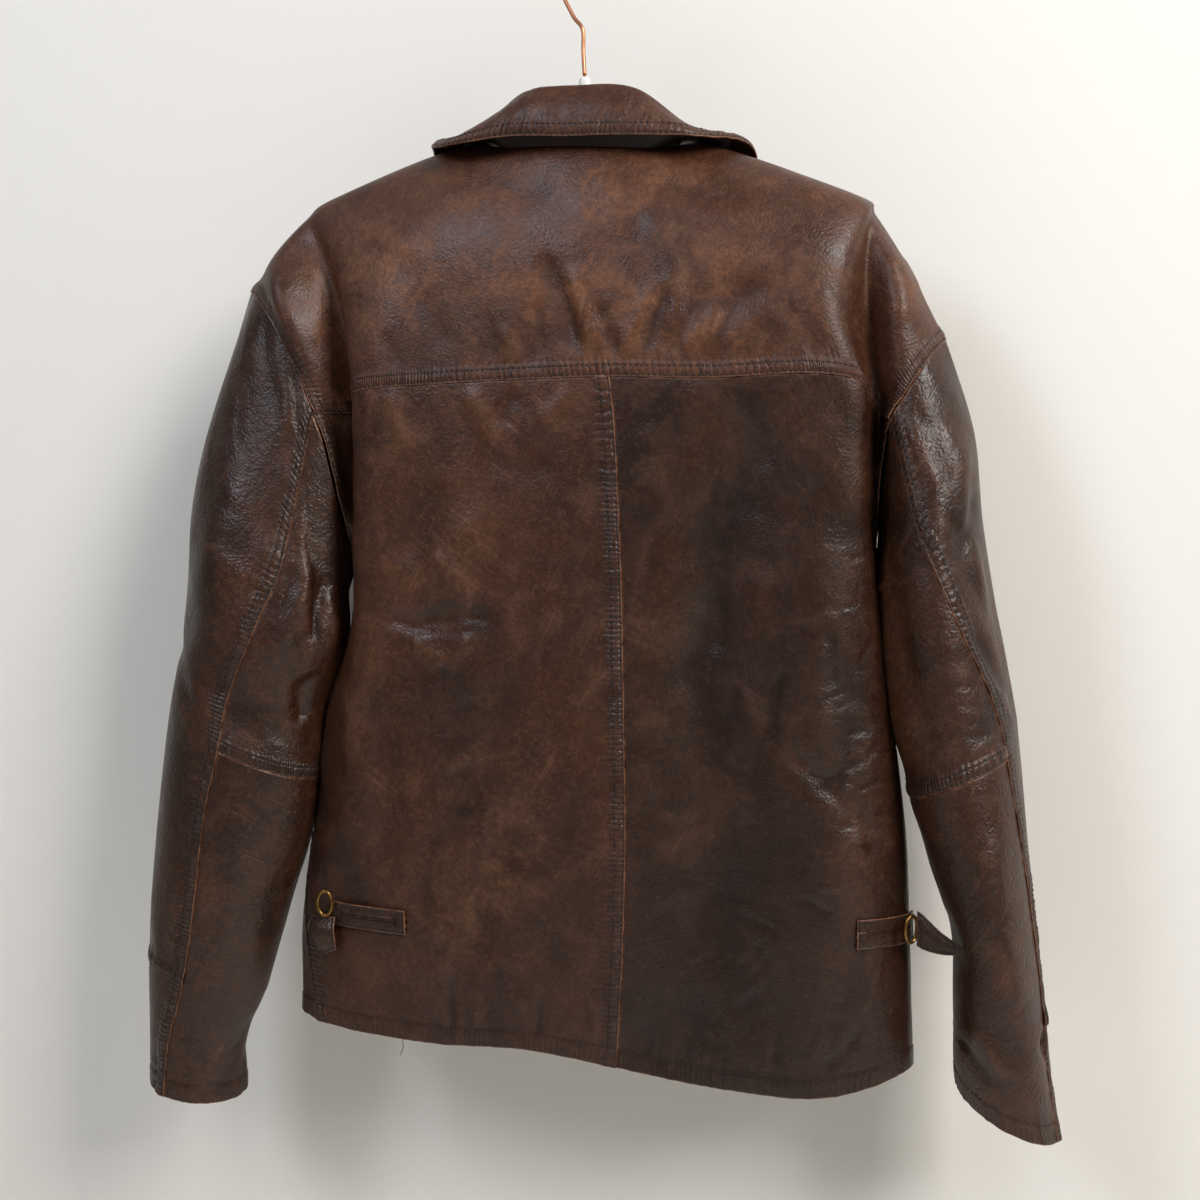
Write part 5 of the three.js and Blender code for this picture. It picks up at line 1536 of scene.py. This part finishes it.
def ring_at(centre, turn, radius, narrowing, wire):
    """A ring bent to an oval: a circle carried round an ellipse in an upright plane turned about Z."""
    whole = 2 * np.pi
    t, a = np.meshgrid(np.linspace(0, whole, 49)[:-1], np.linspace(0, whole, 15)[:-1], indexing="ij")
    x, z = narrowing * radius * np.cos(t), radius * np.sin(t)
    out_x, out_z = np.cos(t), narrowing * np.sin(t)
    size = np.hypot(out_x, out_z)
    x = x + wire / 2 * np.cos(a) * out_x / size
    z = z + wire / 2 * np.cos(a) * out_z / size
    y = wire / 2 * np.sin(a)
    c, s = math.cos(turn), math.sin(turn)
    return np.stack([x * c - y * s, x * s + y * c, z], axis=-1) + np.array(centre), wrapped_faces(*t.shape)


def crossed_rows(height):
    """Points and normals of the cross-stitched lines, straight on the back's net at a height over it."""
    rows = []
    for u0, v0, u1, v1 in CROSS_STITCHED:
        u, v = np.linspace(u0, u1, 30)[None], np.linspace(v0, v1, 30)[None]
        line = back(u, v)[0]
        out = -np.cross(back(u + 0.01, v)[0] - line, back(u, v + 0.01)[0] - line)
        out /= np.linalg.norm(out, axis=-1, keepdims=True)
        rows.append((line + out * height, out))
    return rows


class JACKET_OT_adjusters(bpy.types.Operator):
    """The waist adjusters: straps sewn on the back panels, their loose ends and brass rings"""

    bl_idname = "jacket.adjusters"
    bl_label = "Waist adjusters"

    def execute(self, context):
        leather, fittings = context.scene.jacket_leather, context.scene.jacket_fittings
        rows = []
        lift = leather.wall / MM / 2 + STRAP_WALL / 2 + STRAP_GAP
        seams = {"left": "strap", "right": "strap", "top": "strap", "bottom": "strap"}
        made = {"step": 2, "wall": STRAP_WALL, "slot": "leather_dark", "seed": 71}
        straps = [
            Cut(name, back, -1, across, down, seams, lift=lift, rests_on=(panel,), **made)
            for name, across, down, panel in STRAP_PLACES
        ]
        straps += [
            Cut("tab_left_loop", net(LOOP_NET), -1, (0, 2), (0, 3), seams, rests_on=("ring_left",), **made),
            Cut("tab_right_end", net(END_NET), -1, (0, 4), (0, 2), seams, rests_on=("ring_right",), **made),
        ]
        dark = hide(leather, "strap")
        for cut in straps:
            cut_leather(leather, cut, dark, dark, rows)
        rows += crossed_rows(lift + STRAP_WALL / 2)
        sew("stitching_straps", rows, plain(leather, "waxed_polyester_thread"))
        for name, centre, turn in RINGS:
            points, faces = ring_at(centre, turn, RING_RADIUS, RING_NARROWING, fittings.ring_wire / MM)
            piece(name, points, faces.tolist(), [plain(fittings, "aged_brass")], (name,))
        return {"FINISHED"}


def lathe(profile, centre, sides):
    """A profile of (radius, distance along +Y) turned round the Y axis at a centre."""
    angle = np.linspace(0, 2 * np.pi, sides, endpoint=False)
    r, h = np.array(profile, float).T
    x = np.outer(r, np.cos(angle))
    z = np.outer(r, np.sin(angle))
    y = np.broadcast_to(h[:, None], x.shape)
    return np.stack([x, y, z], axis=-1) + np.array(centre), grid_faces(len(r), sides, 1, closed=True)


class JACKET_OT_buttons(bpy.types.Operator):
    """The front buttons, each with a dished face"""

    bl_idname = "jacket.buttons"
    bl_label = "Buttons"

    def execute(self, context):
        fittings = context.scene.jacket_fittings
        radius = fittings.button_radius / MM
        v = np.linspace(0, FRONT_HEM, 600)
        line = front_left(np.full_like(v, FRONT_EDGE - BUTTON_INSET), v)
        edge = [(radius - inset, height) for inset, height in BUTTON_PROFILE]
        profile = [(0.01, 0), *edge, (0.01, BUTTON_DISH)]
        for i, z in enumerate(BUTTON_HEIGHTS):
            front = np.interp(z, line[::-1, 2], line[::-1, 1])
            points, faces = lathe(profile, (0, front + BUTTON_SEAT, z), 48)
            name = "button_%d" % (i + 1)
            piece(name, points, faces.tolist(), [plain(fittings, "polished_horn")], (name,))
        return {"FINISHED"}


def hanger_arms(sides):
    """The hanger's arms: a rounded rectangle between the upper and the lower line, carried from tip to tip
    and drawn in at both tips."""
    s = np.linspace(0, len(HANGER_TOP_LINE) - 1, 160)
    top, bottom = along(HANGER_TOP_LINE, s), along(HANGER_BOTTOM_LINE, s)
    middle, half = (top + bottom) / 2, (top - bottom) / 2
    angle = np.linspace(0, 2 * np.pi, sides, endpoint=False)
    c, w = (np.sign(a) * np.abs(a) ** HANGER_SQUARENESS for a in (np.cos(angle), np.sin(angle)))
    taper = np.sqrt(np.clip(1 - np.abs(2 * s / s[-1] - 1) ** HANGER_TIP, 0.02, 1))[:, None]
    x = middle[:, 0, None] + half[:, 0, None] * w * taper
    z = middle[:, 1, None] + half[:, 1, None] * w * taper
    return np.stack([x, taper * HANGER_DEPTH * c, z], axis=-1)


def hanger_neck(sides):
    """The neck that holds the hook: circles of the table's radii, no deeper than the arms."""
    heights, radii = np.array(HANGER_NECK).T
    angle = np.linspace(0, 2 * np.pi, sides, endpoint=False)
    x = np.outer(radii, np.cos(angle))
    y = np.outer(np.minimum(radii, HANGER_DEPTH), np.sin(angle))
    return np.stack([x, y, np.broadcast_to(heights[:, None], x.shape)], axis=-1)


def hook_path(wire):
    """The middle of the hook's wire: its stem, then an arc whose outside touches z = 0."""
    start, end, count = HOOK_ARC
    arc = np.radians(np.linspace(start, end, count))[1:]
    centre = wire / 2 - HOOK_RADIUS
    bend = [(HOOK_RADIUS * math.sin(a), 0, centre + HOOK_RADIUS * math.cos(a)) for a in arc]
    points = np.array([*HOOK_STEM, *bend])
    return along(points, np.linspace(0, len(points) - 1, 160))


class JACKET_OT_hanger(bpy.types.Operator):
    """The moulded hanger and its wire hook"""

    bl_idname = "jacket.hanger"
    bl_label = "Hanger"

    def execute(self, context):
        fittings = context.scene.jacket_fittings
        arms, neck = hanger_arms(32), hanger_neck(24)
        points = np.concatenate([arms.reshape(-1, 3), neck.reshape(-1, 3)])
        before_neck = arms.shape[0] * arms.shape[1]
        faces = rod_faces(*arms.shape[:2]) + rod_faces(*neck.shape[:2], start=before_neck)
        plastic = plain(fittings, "moulded_polypropylene")
        piece("hanger", points, faces, [plastic], ("hanger",))
        wire = fittings.hook_wire / MM
        points, faces = tube(hook_path(wire), wire / 2)
        copper = plain(fittings, "copper_plated_wire")
        piece("hanger_hook", points, faces, [copper], ("hanger_hook",))
        return {"FINISHED"}


# The stage


def look(place, forward):
    """Matrix of a camera or light at a place that looks along a direction."""
    ahead = Vector(forward).normalized()
    right = ahead.cross(Vector((0, 0, 1))).normalized()
    up = right.cross(ahead)
    return Matrix.Translation(place) @ Matrix((right, up, -ahead)).transposed().to_4x4()


def place_camera(scene):
    """The camera at the photo's viewing angle."""
    camera = bpy.data.cameras.new("camera")
    camera.sensor_fit = "HORIZONTAL"
    camera.sensor_width = CAMERA_SENSOR
    camera.lens = CAMERA_SENSOR * CAMERA_FOCAL
    camera.clip_start = 0.05
    shown = bpy.data.objects.new("camera", camera)
    turn, drop = math.radians(CAMERA_AZIMUTH), math.radians(CAMERA_DROP)
    forward = (-math.sin(turn) * math.cos(drop), math.cos(turn) * math.cos(drop), -math.sin(drop))
    shown.matrix_world = look(CAMERA_PLACE, forward)
    scene.collection.objects.link(shown)
    scene.camera = shown


def place_lights(scene, strength):
    """Three soft area lights, and a weak even light from all round."""
    for name, place, target, size, power, colour in LIGHTS:
        light = bpy.data.lights.new(name, "AREA")
        light.shape = "RECTANGLE"
        light.size, light.size_y = size
        light.energy = power
        light.color = linear(colour)[:3]
        lamp = bpy.data.objects.new(name, light)
        lamp.matrix_world = look(place, Vector(target) - Vector(place))
        scene.collection.objects.link(lamp)
    world = bpy.data.worlds.new("soft_room")
    scene.world = world
    world.use_nodes = True
    background = world.node_tree.nodes["Background"]
    background.inputs["Color"].default_value = linear(ROOM_COLOUR)
    background.inputs["Strength"].default_value = strength


def wall_paint(colour):
    """Matt wall paint: no gloss, and clear from behind so that the far side can be seen."""
    paint, tree, shader = new_material("matt_wall_paint", colour)
    shader.inputs["Roughness"].default_value = 0.9
    behind = node(tree, "ShaderNodeNewGeometry").outputs["Backfacing"]
    clear = node(tree, "ShaderNodeBsdfTransparent")
    seen = node(tree, "ShaderNodeMixShader", {0: behind, 1: shader, 2: clear})
    tree.links.new(seen.outputs[0], tree.nodes["Material Output"].inputs[0])
    return paint


class JACKET_OT_stage(bpy.types.Operator):
    """A plain pale wall and floor, soft studio light and the camera"""

    bl_idname = "jacket.stage"
    bl_label = "Stage"

    def execute(self, context):
        scene, settings = context.scene, context.scene.jacket_stage
        place_camera(scene)
        place_lights(scene, settings.room_light)
        scene.view_settings.view_transform = "Standard"
        paint = wall_paint(tuple(settings.wall_colour))
        far, y, low, high = STAGE_REACH, WALL_Y, FLOOR_Z, WALL_TOP
        for name, corners in (
            ("wall", [(-far, y, low), (far, y, low), (far, y, high), (-far, y, high)]),
            ("floor", [(-far, -far, low), (far, -far, low), (far, far, low), (-far, far, low)]),
        ):
            mesh = bpy.data.meshes.new(name)
            mesh.from_pydata(corners, [], [(0, 1, 2, 3)])
            mesh.materials.append(paint)
            made = bpy.data.objects.new(name, mesh)
            scene.collection.objects.link(made)
        return {"FINISHED"}


SETTINGS = {
    "jacket_leather": JacketLeather,
    "jacket_fittings": JacketFittings,
    "jacket_stage": JacketStage,
}
OPERATORS = (
    JACKET_OT_back,
    JACKET_OT_fronts,
    JACKET_OT_collar,
    JACKET_OT_sleeves,
    JACKET_OT_adjusters,
    JACKET_OT_buttons,
    JACKET_OT_hanger,
    JACKET_OT_stage,
)


class JACKET_PT_panel(bpy.types.Panel):
    """Lists the jacket's settings and operators"""

    bl_idname = "JACKET_PT_panel"
    bl_label = "Leather jacket"
    bl_space_type = "VIEW_3D"
    bl_region_type = "UI"
    bl_category = "Jacket"

    def draw(self, context):
        for group, kind in SETTINGS.items():
            for key in kind.__annotations__:
                self.layout.prop(getattr(context.scene, group), key)
        for operator in OPERATORS:
            self.layout.operator(operator.bl_idname)


def register():
    """Adds the settings, operators and panel to Blender."""
    for kind in (*SETTINGS.values(), *OPERATORS, JACKET_PT_panel):
        bpy.utils.register_class(kind)
    for group, kind in SETTINGS.items():
        setattr(bpy.types.Scene, group, bpy.props.PointerProperty(type=kind))


def unregister():
    """Takes them out again."""
    for group in SETTINGS:
        delattr(bpy.types.Scene, group)
    for kind in (JACKET_PT_panel, *reversed(OPERATORS), *SETTINGS.values()):
        bpy.utils.unregister_class(kind)


def main():
    """Builds everything."""
    register()
    for build in (
        bpy.ops.jacket.back,
        bpy.ops.jacket.fronts,
        bpy.ops.jacket.collar,
        bpy.ops.jacket.sleeves,
        bpy.ops.jacket.adjusters,
        bpy.ops.jacket.buttons,
        bpy.ops.jacket.hanger,
        bpy.ops.jacket.stage,
    ):
        build()


if __name__ == "__main__":
    main()
